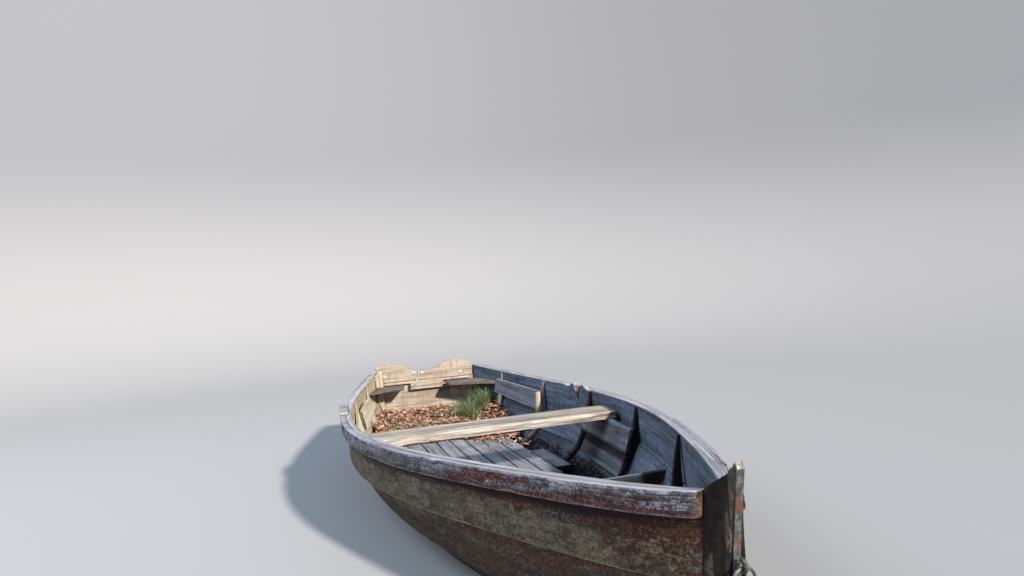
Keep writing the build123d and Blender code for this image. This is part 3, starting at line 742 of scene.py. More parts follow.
def mat_paint(name, paint, paint2, red, wood_d, wood_m, wood_l, cover=0.5,
              redness=0.4, drips=0.5, speck=0.5):
    """Old flaking paint on weathered boards. Marks: r paint kept, g dark
    (dirt, and a painted shadow under the rail), b pale top coat, a red primer."""
    T = Tree(name)
    W = wood_coords(T)
    mr, mg, mb, ma = marks(T)
    s, t, off = W["s"], W["t"], W["off"]
    col = bare_wood(T, W, wood_d, wood_m, wood_l, 0.9)
    # flake fields: broad patches that break up along the grain
    f1 = T.noise(T.vec(T.math("MULTIPLY", s, 9.0), T.math("MULTIPLY", t, 30.0),
                       T.math("ADD", off, 81.0)), 1.0, 6.0, 0.68, 0.4)
    f2 = T.noise(T.vec(T.math("MULTIPLY", s, 34.0), T.math("MULTIPLY", t, 60.0),
                       T.math("ADD", off, 91.0)), 1.0, 4.0, 0.7)
    f3 = T.noise(T.vec(T.math("MULTIPLY", s, 5.0), T.math("MULTIPLY", t, 17.0),
                       T.math("ADD", off, 101.0)), 1.0, 6.0, 0.72, 0.8)
    flake = T.math("ADD", T.math("MULTIPLY", f1, 0.68),
                   T.math("MULTIPLY", f2, 0.32))
    # red primer
    rk = T.math("ADD", f3, T.math("MULTIPLY", T.math("SUBTRACT", ma, 0.5), 0.44))
    rmask = T.map(rk, 0.56 - 0.12 * redness, 0.60 - 0.12 * redness, 0.0, 1.0)
    rcol = T.mix(T.map(f2, 0.35, 0.65), red, tuple(c * 0.5 for c in red))
    col = T.mix(rmask, col, rcol)
    # top coat
    pk = T.math("ADD", flake, T.math("MULTIPLY", T.math("SUBTRACT", mr, 0.5), 0.40))
    pmask = T.map(pk, 0.545 - 0.14 * cover, 0.565 - 0.14 * cover, 0.0, 1.0)
    pc = T.mix(T.map(W["blotch"], 0.38, 0.62), paint, paint2)
    pc = T.mix(T.map(W["fibre"], 0.35, 0.65, 0.35, 0.0), pc,
               tuple(c * 0.45 for c in paint2))
    col = T.mix(T.math("MULTIPLY", pmask, 0.94), col, pc)
    bk = T.math("MULTIPLY", mb, T.map(flake, 0.40, 0.52, 0.0, 1.0))
    col = T.mix(bk, col, tuple(min(1.0, c * 1.6 + 0.02) for c in paint))
    # vertical drips and dirt
    dn = T.noise(T.vec(T.math("MULTIPLY", s, 38.0), T.math("MULTIPLY", t, 6.0),
                       T.math("ADD", off, 111.0)), 1.0, 5.0, 0.7, 0.8)
    drip = T.map(dn, 0.50, 0.72, 0.0, drips)
    col = T.mix(drip, col, lin(36, 29, 24))
    # speckle all over: bare spots, dust and mould
    k1 = T.noise(T.vec(T.math("MULTIPLY", s, 105.0), T.math("MULTIPLY", t, 120.0),
                       off), 1.0, 6.0, 0.78)
    col = T.mix(T.map(k1, 0.495, 0.60, 0.0, 0.74), col, lin(30, 24, 20))
    col = T.mix(T.map(k1, 0.475, 0.38, 0.0, speck), col,
                tuple(min(1.0, c * 1.75 + 0.01) for c in paint))
    k2 = T.noise(T.vec(T.math("MULTIPLY", s, 17.0), T.math("MULTIPLY", t, 26.0),
                       T.math("ADD", off, 7.0)), 1.0, 6.0, 0.7)
    col = T.mix(T.map(k2, 0.50, 0.61, 0.0, 0.70), col, lin(48, 36, 28))
    k3 = T.noise(T.vec(T.math("MULTIPLY", s, 6.0), T.math("MULTIPLY", t, 16.0),
                       T.math("ADD", off, 57.0)), 1.0, 6.0, 0.72, 0.5)
    col = T.mix(T.map(k3, 0.52, 0.62, 0.0, 0.50), col, lin(58, 40, 31))
    # spots of lost paint and black mould
    sp = T.map(T.vor(T.vec(s, T.math("MULTIPLY", t, 1.3), off), 38.0),
               0.05, 0.16, 0.8, 0.0)
    sp = T.math("MULTIPLY", sp, T.map(f1, 0.46, 0.56, 0.0, 1.0))
    col = T.mix(sp, col, lin(24, 20, 18))
    col = T.mix(T.math("MULTIPLY", W["checks"], 0.7), col, lin(20, 17, 15))
    d0, d1, sid = T.sep(T.attr("sd"))
    edge = T.math("MINIMUM", d0, d1)
    ew = T.math("MULTIPLY", T.map(edge, 0.0, 0.007, 1.0, 0.0),
                T.map(f2, 0.38, 0.55, 0.0, 0.8))
    col = T.mix(ew, col, tuple(min(1.0, c * 1.3) for c in wood_l))
    en = T.attr("endg", "Fac")
    col = T.mix(en, col, T.ramp(W["fibre"], [(0.3, lin(46, 36, 30)),
                                             (0.7, lin(112, 92, 74))]))
    # dirt, and the painted shadow under the rail that the g mark carries
    grime_and_shade = T.map(T.math("ADD", mg, T.math("MULTIPLY", T.math(
        "SUBTRACT", f1, 0.5), 0.7)), 0.15, 0.95, 0.0, 1.0)
    col = T.mix(T.math("MULTIPLY", grime_and_shade, 0.9), col, lin(30, 23, 18))
    h = T.math("ADD", T.math("MULTIPLY", W["fibre"], 0.35),
               T.math("MULTIPLY", pmask, 0.55))
    h = T.math("SUBTRACT", h, T.math("MULTIPLY", W["checks"], 0.9))
    h = T.math("ADD", h, T.math("MULTIPLY", rmask, 0.25))
    nrm = T.bump(h, 0.0010, 1.0)
    rough = T.map(pmask, 0.0, 1.0, 0.92, 0.70)
    return T.done(col, rough, nrm, spec=0.28)


# ------------------------------------------------------------- the finishes
# The inner wood comes as two lit copies: the first has the blue of the shade painted
# in, the second (inner_planks_sunny) is painted as in sunlight.
M_INNER_SHADED = mat_wood("inner_planks", lin(46, 54, 66), lin(90, 104, 124),
                   lin(136, 150, 172), 1.0, warm=lin(100, 104, 108), ticks=True)
M_INNER_SUNLIT = mat_wood("inner_planks_sunny", lin(108, 96, 78), lin(172, 158, 134),
                     lin(210, 198, 174), 0.9, warm=lin(178, 160, 126),
                     moss=lin(150, 146, 84), end=lin(120, 104, 84))
M_FRAME = mat_wood("frame_wood", lin(64, 60, 56), lin(112, 106, 98),
                   lin(160, 152, 140), 1.0, warm=lin(134, 114, 92),
                   end=lin(128, 110, 88))
M_CREAM = mat_wood("corner_wood", lin(116, 100, 80), lin(174, 156, 130),
                   lin(206, 190, 166), 0.9, warm=lin(176, 150, 116),
                   end=lin(150, 128, 100))
# riser wood with the blue of the shade painted in
M_RISER_SHADED = mat_wood("riser_wood", lin(60, 64, 72), lin(106, 112, 122),
                   lin(148, 154, 164), 1.0, warm=lin(108, 104, 98),
                   end=lin(126, 110, 90))
M_THWART = mat_wood("thwart_wood", lin(66, 58, 52), lin(160, 150, 138),
                    lin(204, 196, 184), 1.7, warm=lin(160, 138, 110),
                    end=lin(164, 140, 112), stain=lin(116, 84, 60))
M_FLOOR = mat_wood("floorboard_wood", lin(80, 80, 84), lin(134, 136, 142),
                   lin(170, 172, 178), 1.0, warm=lin(126, 122, 118),
                   end=lin(104, 94, 84), seam=0.85)
M_TRANSOM = mat_wood("transom_wood", lin(118, 100, 86), lin(174, 156, 138),
                     lin(204, 190, 174), 1.0, warm=lin(176, 150, 126),
                     end=lin(160, 142, 122), stain=lin(70, 56, 46), drip=0.42,
                     check=0.40)
M_RAILTOP = mat_wood("rail_top_wood", lin(92, 90, 91), lin(148, 147, 150),
                     lin(186, 185, 189), 1.1, warm=lin(124, 114, 106),
                     end=lin(108, 84, 70), stain=lin(104, 54, 42))
M_BILGE = mat_wood("bilge_wood", lin(44, 38, 34), lin(78, 70, 62),
                   lin(112, 102, 92), 1.0, warm=lin(70, 56, 44))
M_STRAKE_OUT = mat_paint("strake_paint", lin(112, 101, 81), lin(80, 70, 57),
                         lin(86, 43, 36), lin(34, 27, 23), lin(60, 49, 42),
                         lin(86, 74, 62), cover=0.42, redness=0.42, drips=0.4)
M_STRAKE_MID = mat_paint("lower_strake_paint", lin(96, 86, 70), lin(76, 66, 54),
                         lin(84, 50, 38), lin(36, 28, 23), lin(62, 50, 41),
                         lin(84, 70, 56), cover=0.36, redness=0.30, drips=0.35)
M_RAIL_OUT = mat_paint("rail_paint", lin(152, 151, 160), lin(124, 122, 130),
                       lin(104, 54, 45), lin(50, 46, 46), lin(90, 86, 86),
                       lin(128, 124, 124), cover=0.5, redness=0.4, drips=0.3,
                       speck=0.30)
M_STEM = mat_paint("stem_paint", lin(70, 64, 54), lin(44, 39, 34),
                   lin(46, 16, 18), lin(5, 4, 4), lin(10, 8, 8),
                   lin(28, 24, 22), cover=0.10, redness=0.34, drips=0.8,
                   speck=0.10)


# ============================================================ hull planking
# Half sections of the hull, as the columns of the frame's own table: x, rail
# outside half breadth, sheer height, upper lap half breadth and height, lower
# lap half breadth and height, chine half breadth and height, in millimetres.
HULL = [
    (0, 430, 550, 392, 312, 348, 202, 290, 100),
    (400, 555, 527, 513, 287, 470, 168, 362, 62),
    (970, 690, 507, 652, 275, 592, 150, 442, 31),
    (1570, 760, 505, 718, 278, 627, 148, 470, 22),
    (2315, 714, 520, 677, 303, 570, 146, 428, 23),
    (3100, 493, 560, 462, 338, 382, 146, 280, 42),
    (3700, 252, 601, 224, 368, 176, 162, 118, 70),
    (4060, 73, 634, 61, 398, 61.5, 190, 53, 92),
]
PLANK_T, RAIL_T, RAIL_H, GAP = 18.0, 28.0, 69.0, 0.4
TOP_EXTRA = (0.0, 9.0, 13.0, 13.0, 13.0, 13.0, 13.0, 8.0)


def half_section(i):
    """Corners of the port pieces at one station, in millimetres."""
    x, rb, sz, ab, az, bb, bz, cb, cz = map(float, HULL[i])
    lo, hi = max(i - 1, 0), min(i + 1, len(HULL) - 1)
    f = math.sqrt(1 + ((HULL[hi][1] - HULL[lo][1])
                       / (HULL[hi][0] - HULL[lo][0])) ** 2)
    t = PLANK_T * f
    P = lambda *p: np.array(p, float)

    def unit(a, b):
        d = b - a
        return d / np.linalg.norm(d)

    def inw(u):
        return P(-u[1], u[0])

    def level(p, u, z):
        return p + u * (z - p[1]) / u[1]

    a, b, c, top = P(ab, az), P(bb, bz), P(cb, cz), P(rb - RAIL_T * f - GAP, sz)
    u = unit(a, top)
    n = inw(u)
    upper = [a, top, level(top + n * (t + TOP_EXTRA[i] * f), u, sz),
             a + n * t + u * (LAP * 1000 + 4.0), a + n * t]
    r0 = top - n * GAP
    r1 = r0 - n * RAIL_T * f
    rail = [r0, r1, r1 - u * RAIL_H, r0 - u * RAIL_H]
    k = upper[4] + n * GAP
    to = k + u * LAP * 1000
    um = unit(b, k)
    nm = inw(um)
    run = (to - b) @ um
    middle = [b, k, to, b + nm * t + um * run, b + nm * t]
    k2 = middle[4] + nm * GAP
    t2 = k2 + um * LAP * 1000
    ul = unit(c, k2)
    nl = inw(ul)
    run = (t2 - c) @ ul
    lower = [c, k2, t2, c + nl * t + ul * run, level(c + nl * t, ul, cz)]
    return dict(upper=upper, rail=rail, middle=middle, lower=lower)


SECTIONS = [half_section(i) for i in range(len(HULL))]


def hull_curves(node, key, side):
    """Corner curves of a hull piece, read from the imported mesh. Where an edge
    fades out near the bow, its last station finishes it."""
    chains = long_edges(node)
    want = np.array(SECTIONS[0][key]) / 1000
    last = np.array(SECTIONS[-1][key]) / 1000
    out = []
    for c in range(len(want)):
        best = min(chains, key=lambda p: abs(p[0, 1] * side - want[c, 0])
                   + abs(p[0, 2] - want[c, 1]))
        pts = best.copy()
        if pts[-1, 0] < SX + 4.0595 or abs(
                pts[-1, 1] * side - last[c, 0]) + abs(
                pts[-1, 2] - last[c, 1]) > 0.004:
            pts = pts[pts[:, 0] < SX + 3.92]
            pts = np.vstack([pts, [SX + 4.060, side * last[c, 0], last[c, 1]]])
        out.append(pts)
    return out


def curves_at(curves, x):
    """(stations, corners, 3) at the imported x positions."""
    return np.stack([np.concatenate([x[:, None], spline(
        c[:, 0], c[:, 1:], x)], 1) for c in curves], 1)


def inside_line(side):
    """Functions of x for the inside of the planking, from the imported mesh."""
    sgn = 1 if side == "port" else -1
    up_ = hull_curves("upper_strake_" + side, "upper", sgn)
    mi = hull_curves("middle_strake_" + side, "middle", sgn)
    lo = hull_curves("lower_strake_" + side, "lower", sgn)
    return dict(upper=up_, middle=mi, lower=lo)


HC = {"port": inside_line("port"), "starboard": inside_line("starboard")}


def inner_y(x, z, side="port"):
    """Half breadth of the planking's inside face at packed x and height z."""
    x = np.atleast_1d(np.asarray(x, float))
    z = np.broadcast_to(np.asarray(z, float), x.shape)
    h = HC[side]
    rows = [h["lower"][4], h["lower"][3], h["middle"][3], h["upper"][2]]
    pts = [spline(c[:, 0], c[:, 1:], x) for c in rows]
    y = np.abs(pts[-1][:, 0])
    for p, q in list(zip(pts, pts[1:]))[::-1]:
        k = (z - p[:, 1]) / (q[:, 1] - p[:, 1])
        v = np.abs(p[:, 0]) + (np.abs(q[:, 0]) - np.abs(p[:, 0])) * k
        y = np.where(z < q[:, 1], v, y)
    return y


X_BOW = SX + 4.060
NOTCH = (SX + 1.402, SX + 1.446, SX + 1.488, 0.036)
ARC = {}          # arc length along each strake, for nails


def x_stations(step=0.017, fine=()):
    return stations(4.060, step, fine) + SX


def strake(key, side):
    sgn = 1 if side == "port" else -1
    node = f"{key}_strake_{side}"
    curves = HC[side][key]
    fine = [(NOTCH[0] - SX - 0.02, NOTCH[2] - SX + 0.02, 0.004)] if (
        key == "upper" and side == "port") else ()
    x = x_stations(0.017, fine)
    C = curves_at(curves, x)
    if key == "upper":             # the corner just above the lap, inside
        d = C[:, 1] - C[:, 0]
        C[:, 3] = C[:, 4] + d / np.linalg.norm(d, axis=1)[:, None] * (LAP + 0.004)
    K = C.shape[1]
    if key == "upper" and side == "port":
        d = np.where(x < NOTCH[1], (x - NOTCH[0]) / (NOTCH[1] - NOTCH[0]),
                     (NOTCH[2] - x) / (NOTCH[2] - NOTCH[1]))
        jag = 0.004 * noise(x * 160, 0, 0, 3) + 0.003 * noise(x * 420, 0, 0, 4)
        dep = np.where((d > 0), np.clip(d, 0, 1) ** 0.85 * NOTCH[3] + jag, 0.0)
        dep = np.clip(dep, 0, 0.055)
        for c in (1, 2):
            v = C[:, 0 if c == 1 else 3] - C[:, c]
            C[:, c] += v / np.linalg.norm(v, axis=1)[:, None] * dep[:, None]
    mid = C.mean(1)
    s = np.concatenate([[0], np.cumsum(np.linalg.norm(np.diff(mid, axis=0),
                                                      axis=1))])
    ARC[node] = (x, s, C)
    outer = {"upper": [0], "middle": [0, 1], "lower": [0, 1]}[key]
    inner = {"upper": 2, "middle": 3, "lower": 3}[key]
    side_mat = [1] * K
    for k in outer:
        side_mat[k] = 0
    if key == "upper":
        side_mat[1] = 2
    seed = {"upper": 1, "middle": 2, "lower": 3}[key] + (0 if side == "port" else 10)
    r = {"upper": [0.003, 0.004, 0.005, 0.001, 0.002],
         "middle": [0.003, 0.001, 0.001, 0.003, 0.002],
         "lower": [0.003, 0.001, 0.001, 0.003, 0.002]}[key]
    rg = np.random.default_rng(500 + seed)
    cracks = []
    for _ in range(5):
        a = rg.uniform(0.0, 3.7)
        cracks.append(dict(side=outer[0], v=rg.uniform(0.15, 0.85), s0=a,
                           s1=a + rg.uniform(0.25, 0.8), w=0.0011, d=0.0035))
    for _ in range(5):
        a = rg.uniform(0.0, 3.7)
        cracks.append(dict(side=inner, v=rg.uniform(0.15, 0.85), s0=a,
                           s1=a + rg.uniform(0.2, 0.7), w=0.0013, d=0.004))
    cracks = sorted(cracks, key=lambda c: c["v"])
    spaced, last = [], {}
    for c in cracks:
        if c["v"] - last.get(c["side"], -1) > 0.13:
            spaced.append(c)
            last[c["side"]] = c["v"]

    def mask(i):
        P, v = i["P"], i["v"]
        X = P[..., 0] - SX
        z = P[..., 2]
        out = np.isin(i["side"], outer)
        n1 = fbm(X * 1.7, v * 2.2, seed, 61, 3)
        n2 = fbm(X * 5.0, v * 4.5, seed, 62, 3)
        r_ = np.zeros_like(X)
        g_ = np.zeros_like(X)
        b_ = np.zeros_like(X)
        a_ = np.zeros_like(X)
        # outside
        if key == "upper":
            aft = 1 - sstep(1.6, 2.6, X + 0.2 * n1)
            bow = sstep(3.68, 3.86, X + 0.1 * n1)
            low = 1 - sstep(0.34, 0.62, v + 0.10 * n2 + 0.06 * n1)
            r_o = (0.30 + 0.30 * n1) * aft + 0.85 * low * (1 - 0.75 * bow) \
                + 0.10 * n2 + 0.25 * bow
            b_o = 0.30 * low * (1 - bow) * (0.6 + 0.6 * n2)
            a_o = 0.30 + 0.35 * n1 + 0.55 * bow * bump(v, 0.45 + 0.2 * n1, 0.33) \
                + 0.35 * bump(X, 3.0, 0.5) * (1 - low)
            # partly dark paint, partly a painted shadow of the rail: the strake's upper
            # part is darker, most of all forward of midships
            g_o = 1.05 * sstep(0.46, 0.72, v + 0.08 * n2) * (
                0.28 + 0.72 * sstep(1.0, 2.3, X)) * (
                1 - 0.25 * bow) + 0.26 * n2 + 0.10
        elif key == "middle":
            up_ = sstep(0.35, 0.9, v + 0.15 * n2)
            r_o = 0.22 + 0.35 * n1 + 0.35 * up_ * sstep(3.6, 2.4, X)
            b_o = 0.30 * up_ * (0.5 + n2)
            a_o = 0.30 + 0.35 * n1 + 0.3 * bump(X, 3.3, 0.5)
            g_o = 0.22 * sstep(0.5, 0.0, v) + 0.10 + 0.15 * n2
        else:
            r_o = 0.15 + 0.3 * n1
            b_o = 0.0 * X
            a_o = 0.25 + 0.3 * n1
            g_o = 0.40 + 0.25 * n2
        # inside
        down = 1 - v if key == "upper" else v
        lowi = sstep(0.35, 1.0, v)         # towards the strake's lower edge
        g_i = {"upper": 0.10, "middle": 0.14, "lower": 0.50}[key] + 0.0 * X
        if key != "lower":
            g_i = g_i + 0.28 * sstep(0.86, 1.0, v) + 0.10 * n2
        else:
            g_i = g_i + 0.4 * sstep(0.2, 0.9, v)
        b_i = 0.10 + 0.25 * n1
        if side == "starboard":            # the sunlit side inside, aft
            g_i = g_i * (0.3 + 0.7 * sstep(1.4, 2.6, X))
        r_i = 0.15 + 0.3 * n2
        a_i = 0.12 + 0.2 * n1 + (0.35 * bump(X, 1.1, 0.5) * lowi if side ==
                                 "starboard" else 0)
        # aft of the transom's inside the planking is hidden and dark
        # the upper strake's top face: paler, with less dirt and no moss
        if key == "upper":
            topf = i["side"] == 1
            r_i = np.where(topf, 0.1 + 0.2 * n2, r_i)
            g_i = np.where(topf, 0.05 + 0.15 * n2, g_i)
            b_i = np.where(topf, 0.40 + 0.3 * n1, b_i)
            a_i = np.where(topf, 0.0, a_i)
            if side == "port":         # broken wood in the notch
                brk = topf & (P[..., 0] > NOTCH[0]) & (P[..., 0] < NOTCH[2])
                r_i = np.where(brk, 1.0, r_i)
                g_i = np.where(brk, 0.30, g_i)
                b_i = np.where(brk, 0.0, b_i)
        return dict(r=np.where(out, r_o, r_i), g=np.where(out, g_o, g_i),
                    b=np.where(out, b_o, b_i), a=np.where(out, a_o, a_i))

    buf = Buf()
    timber(buf, C, s, radii=np.array(r)[None], seed=seed, cracks=spaced,
           side_mat=side_mat, rows=0.0075, amp=0.8, chip=0.8, mask=mask,
           end_round=0.002, ragged=0.0004, end_mat=0,
           t0=seed * 0.7)
    outm = M_STRAKE_OUT if key == "upper" else M_STRAKE_MID
    # inside: the wood with painted shade on port, the same wood painted as sunlit on
    # starboard
    inm = M_INNER_SHADED if side == "port" else M_INNER_SUNLIT
    buf.finish(node + "_planked", [outm, inm, M_RAILTOP], slot="strake_wood",
               nodes=[node])


for side in ("port", "starboard"):
    for key in ("upper", "middle", "lower"):
        strake(key, side)


R_RED = (3.30, 3.72)             # where the rails show most red


def rail(side):
    sgn = 1 if side == "port" else -1
    node = "gunwale_rail_" + side
    curves = hull_curves(node, "rail", sgn)
    x = x_stations(0.016)
    C = curves_at(curves, x)
    mid = C.mean(1)
    s = np.concatenate([[0], np.cumsum(np.linalg.norm(np.diff(mid, axis=0),
                                                      axis=1))])
    ARC[node] = (x, s, C)
    d = C[-1, 1] - C[-4, 1]           # the end is cut square to its own run
    for c in (1, 2):
        C[-1, c] += d / np.linalg.norm(d) * 0.011
    rg = np.random.default_rng(40 + sgn)
    cracks = []
    for v, a, b in ((0.3, -0.1, 0.9), (0.55, 0.8, 2.2), (0.42, 2.5, 4.3)):
        cracks.append(dict(side=0, v=v, s0=a, s1=b, w=0.0012, d=0.004,
                           wander=0.004))
    cracks.append(dict(side=1, v=0.15, s0=-0.2, s1=4.6, w=0.0012, d=0.0045,
                       wander=0.0006, taper=0.05))
    for v, a, b in ((0.36, 0.5, 1.6), (0.55, 1.9, 3.2), (0.66, 3.0, 4.3),
                    (0.42, 3.3, 4.3)):
        cracks.append(dict(side=1, v=v, s0=a, s1=b, w=0.0013, d=0.004))

    def mask(i):
        P, v = i["P"], i["v"]
        X = P[..., 0] - SX
        n1 = fbm(X * 2.4, v * 1.6, sgn, 71, 3)
        n2 = fbm(X * 8.0, v * 3.0, sgn, 72, 3)
        outf = i["side"] >= 1
        face = i["side"] == 1
        red = 0.95 * bump(X, R_RED[0], 0.20) + 0.85 * bump(
            X + 0.1 * n1, R_RED[1], 0.24) + 0.12 * sstep(R_RED[1], 4.0, X)
        band = np.where(face, sstep(0.76, 0.86, v + 0.03 * n2), 0.0)
        strip = np.where(face, 1 - sstep(0.10, 0.15, v), 0.0)
        a_ = np.where(outf, red * (0.75 + 0.7 * n2) + 0.12 * n1 + 0.35 * band,
                      0.0)
        a_ = a_ * (1 - 0.7 * strip)
        r_ = np.where(outf, 0.68 + 0.3 * n1 - 0.40 * red - 0.40 * band,
                      0.15 + 0.2 * n2 + 0.8 * (i["side"] == 3) * bump(
                          X, 1.44, 0.09))
        g_ = np.where(outf, 0.16 + 0.18 * n2 + 0.35 * (i["side"] == 2)
                      + 0.18 * band + 0.3 * bump(v, 0.155, 0.02) * face,
                      0.05 + 0.15 * n2)
        b_ = np.where(outf, 0.10 * n1 + 0.8 * strip, 0.25 + 0.3 * n1)
        return dict(r=r_, g=g_, b=b_, a=a_)

    buf = Buf()
    timber(buf, C, s, radii=np.array([0.003, 0.005, 0.004, 0.002])[None],
           seed=30 + (sgn > 0), cracks=cracks, side_mat=[0, 1, 1, 0],
           rows=0.005, amp=1.0, chip=1.2, mask=mask, end_round=0.002,
           ragged=0.0008, end_mat=0)
    buf.finish(node + "_worn", [M_RAILTOP, M_RAIL_OUT], slot="rail_wood",
               nodes=[node])


rail("port")
rail("starboard")


# ============================================================ plain boards
def simple_mask(dark=0.05, pale=0.2, stain=0.15, moss=0.05, vary=0.3, fn=None):
    def mask(i):
        P = i["P"]
        n1 = fbm(P[..., 0] * 3, P[..., 1] * 3, P[..., 2] * 3 + i["seed"], 81, 3)
        n2 = fbm(P[..., 0] * 11, P[..., 1] * 11, P[..., 2] * 11, 82, 3)
        m = dict(g=dark + vary * 0.5 * n2, b=pale + vary * n1,
                 r=stain + vary * n2, a=moss + vary * 0.6 * n1)
        if fn:
            m = fn(i, m)
        return m
    return mask


def hexa(name, node, axis, mat, slot, step=0.02, seed=0, cracks=(), mask=None,
         tol=0.34, rings=None, **kw):
    buf = Buf()
    bm = cad_points(node)
    verts = [tuple(v.co) for v in bm.verts]
    bm.free()
    r0, r1 = rings or corners8(verts, axis, tol)
    board(buf, r0, r1, step=step, seed=seed, cracks=cracks,
          mask=mask or simple_mask(), **kw)
    return buf.finish(name, [mat], slot=slot, nodes=[node])


def random_cracks(sides, length, count, seed, w=0.0015, d=0.005, minlen=0.15,
                  maxlen=0.6):
    rg = np.random.default_rng(seed)
    out = []
    for sd in sides:
        vs = np.sort(rg.uniform(0.12, 0.88, count))
        last = -1
        for v in vs:
            if v - last < 0.12:
                continue
            last = v
            a = rg.uniform(-0.1, max(0.0, length - minlen))
            out.append(dict(side=sd, v=float(v), s0=float(a), s1=float(
                a + rg.uniform(minlen, maxlen)), w=w * rg.uniform(0.6, 1.3), d=d,
                taper=min(0.12, 0.3 * minlen)))
    return out


def shade_fwd(i, m, amount=0.95):
    """Painted shade: blackens faces that point forward, and more lightly darkens faces
    that point to starboard.
    """
    m["g"] = m["g"] + amount * sstep(0.45, 0.75, i["n"][..., 0])
    m["g"] = m["g"] + 0.42 * amount * sstep(0.45, 0.75, -i["n"][..., 1])
    return m


bm = cad_points("aft_riser_port")
R0, R1 = corners8([tuple(v.co) for v in bm.verts], 0, 0.02)
bm.free()
# the starboard one has lost the upper corner of its aft end
flip = np.array([1.0, -1.0, 1.0])
L0, L1 = R0 * flip, R1 * flip
for c in range(4):
    low = L0[c][2] < 0.42
    x_cut = SX + (0.418 if low else 0.655)
    k = (x_cut - L0[c][0]) / (L1[c][0] - L0[c][0])
    L0[c] = L0[c] + (L1[c] - L0[c]) * k
for nm, seed, rings in (("upper_riser_port", 41, None),
                        ("upper_riser_starboard", 42, None),
                        ("lower_riser_port", 43, None),
                        ("lower_riser_starboard", 44, None),
                        ("aft_riser_port", 45, (R0, R1)),
                        ("aft_riser_starboard", 46, (L0, L1))):
    lo_z, hi_z = (0.292, 0.404) if "upper" in nm else (
        (0.10, 0.262) if "lower" in nm else (0.0, 9.0))

    # painted shade along each riser's lower edge and along the top of the lower riser,
    # under the upper one; a painted highlight along the upper riser's top edge
    def riser_edge_light_and_shade(i, m, lo=lo_z, hi=hi_z, low="lower" in nm):
        z = i["P"][..., 2]
        m["g"] = m["g"] + 0.55 * sstep(lo + 0.012, lo - 0.004, z)
        if low:
            m["g"] = m["g"] + 0.60 * sstep(hi - 0.02, hi + 0.006, z)
        else:
            m["b"] = m["b"] + 0.50 * sstep(hi - 0.004, hi + 0.004, z)
        return m

    # the starboard aft riser takes the sunlit copy of the inner wood, the others the
    # riser wood with painted shade
    hexa(nm + "_board", nm, 0, M_INNER_SUNLIT if nm == "aft_riser_starboard"
         else M_RISER_SHADED, "inner_wood", seed=seed, rows=0.005,
         cracks=random_cracks((0, 1, 2, 3), 0.65, 3, seed, 0.0012, 0.004),
         radii=0.0025, ragged=0.0025, tol=0.02, rings=rings,
         mask=simple_mask(dark=0.08 if "aft" in nm else 0.34,
                          pale=0.5 if "aft" in nm else 0.05, fn=riser_edge_light_and_shade))

# painted light on the bow cross board: its starboard part paler as painted sunlight,
# its port part darkened as painted shade
def cross_board_sun_shade_mask(i):
    y = i["P"][..., 1]
    n2 = fbm(i["P"][..., 0] * 9, y * 9, i["P"][..., 2] * 30, 83, 3)
    port = sstep(0.37, 0.395, y)
    return dict(r=0.1 + 0.2 * n2, g=0.05 + 0.15 * n2 + 0.75 * port,
                b=(0.95 - 0.3 * n2) * (1 - port), a=0.0 * y)


hexa("bow_cross_board_worn", "bow_cross_board", 1, M_FRAME, "inner_wood",
     seed=51, rows=0.005, cracks=random_cracks((0, 1, 2, 3), 1.0, 3, 51),
     mask=cross_board_sun_shade_mask)
hexa("transom_ledge_worn", "transom_ledge", 1, M_TRANSOM, "inner_wood",
     seed=52, rows=0.004)
hexa("stern_centre_block_worn", "stern_centre_block", 1, M_TRANSOM,
     "inner_wood", seed=53, rows=0.005,
     cracks=random_cracks((0, 1, 2, 3), 0.25, 3, 53))
hexa("middle_thwart_worn", "middle_thwart", 1, M_THWART, "thwart_wood",
     seed=54, rows=0.0045, step=0.016, radii=0.003,
     cracks=random_cracks((0, 1, 2, 3), 1.35, 7, 54, 0.0016, 0.006, 0.2, 0.9),
     ragged=0.003, amp=1.6)

buf = Buf()
for n, part in enumerate(loose_parts("floorboards")):
    r0, r1 = corners8(part, 0)
    board(buf, r0, r1, step=0.03, seed=60 + n, rows=0.008, radii=0.0022,
          cracks=random_cracks((1, 2, 3), r1.mean(0)[0] - r0.mean(0)[0], 2,
                               60 + n, 0.001, 0.003),
          mask=simple_mask(), warp=0.0008, ragged=0.002)
buf.finish("floorboards_worn", [M_FLOOR], slot="floorboard_wood",
           nodes=["floorboards"])

buf = Buf()
for n, part in enumerate(loose_parts("floor_timbers")):
    r0, r1 = corners8(part, 1)
    board(buf, r0, r1, step=0.03, seed=80 + n, rows=0.008, radii=0.003,
          mask=simple_mask(dark=0.45))
buf.finish("floor_timbers_worn", [M_FRAME], slot="inner_wood",
           nodes=["floor_timbers"])


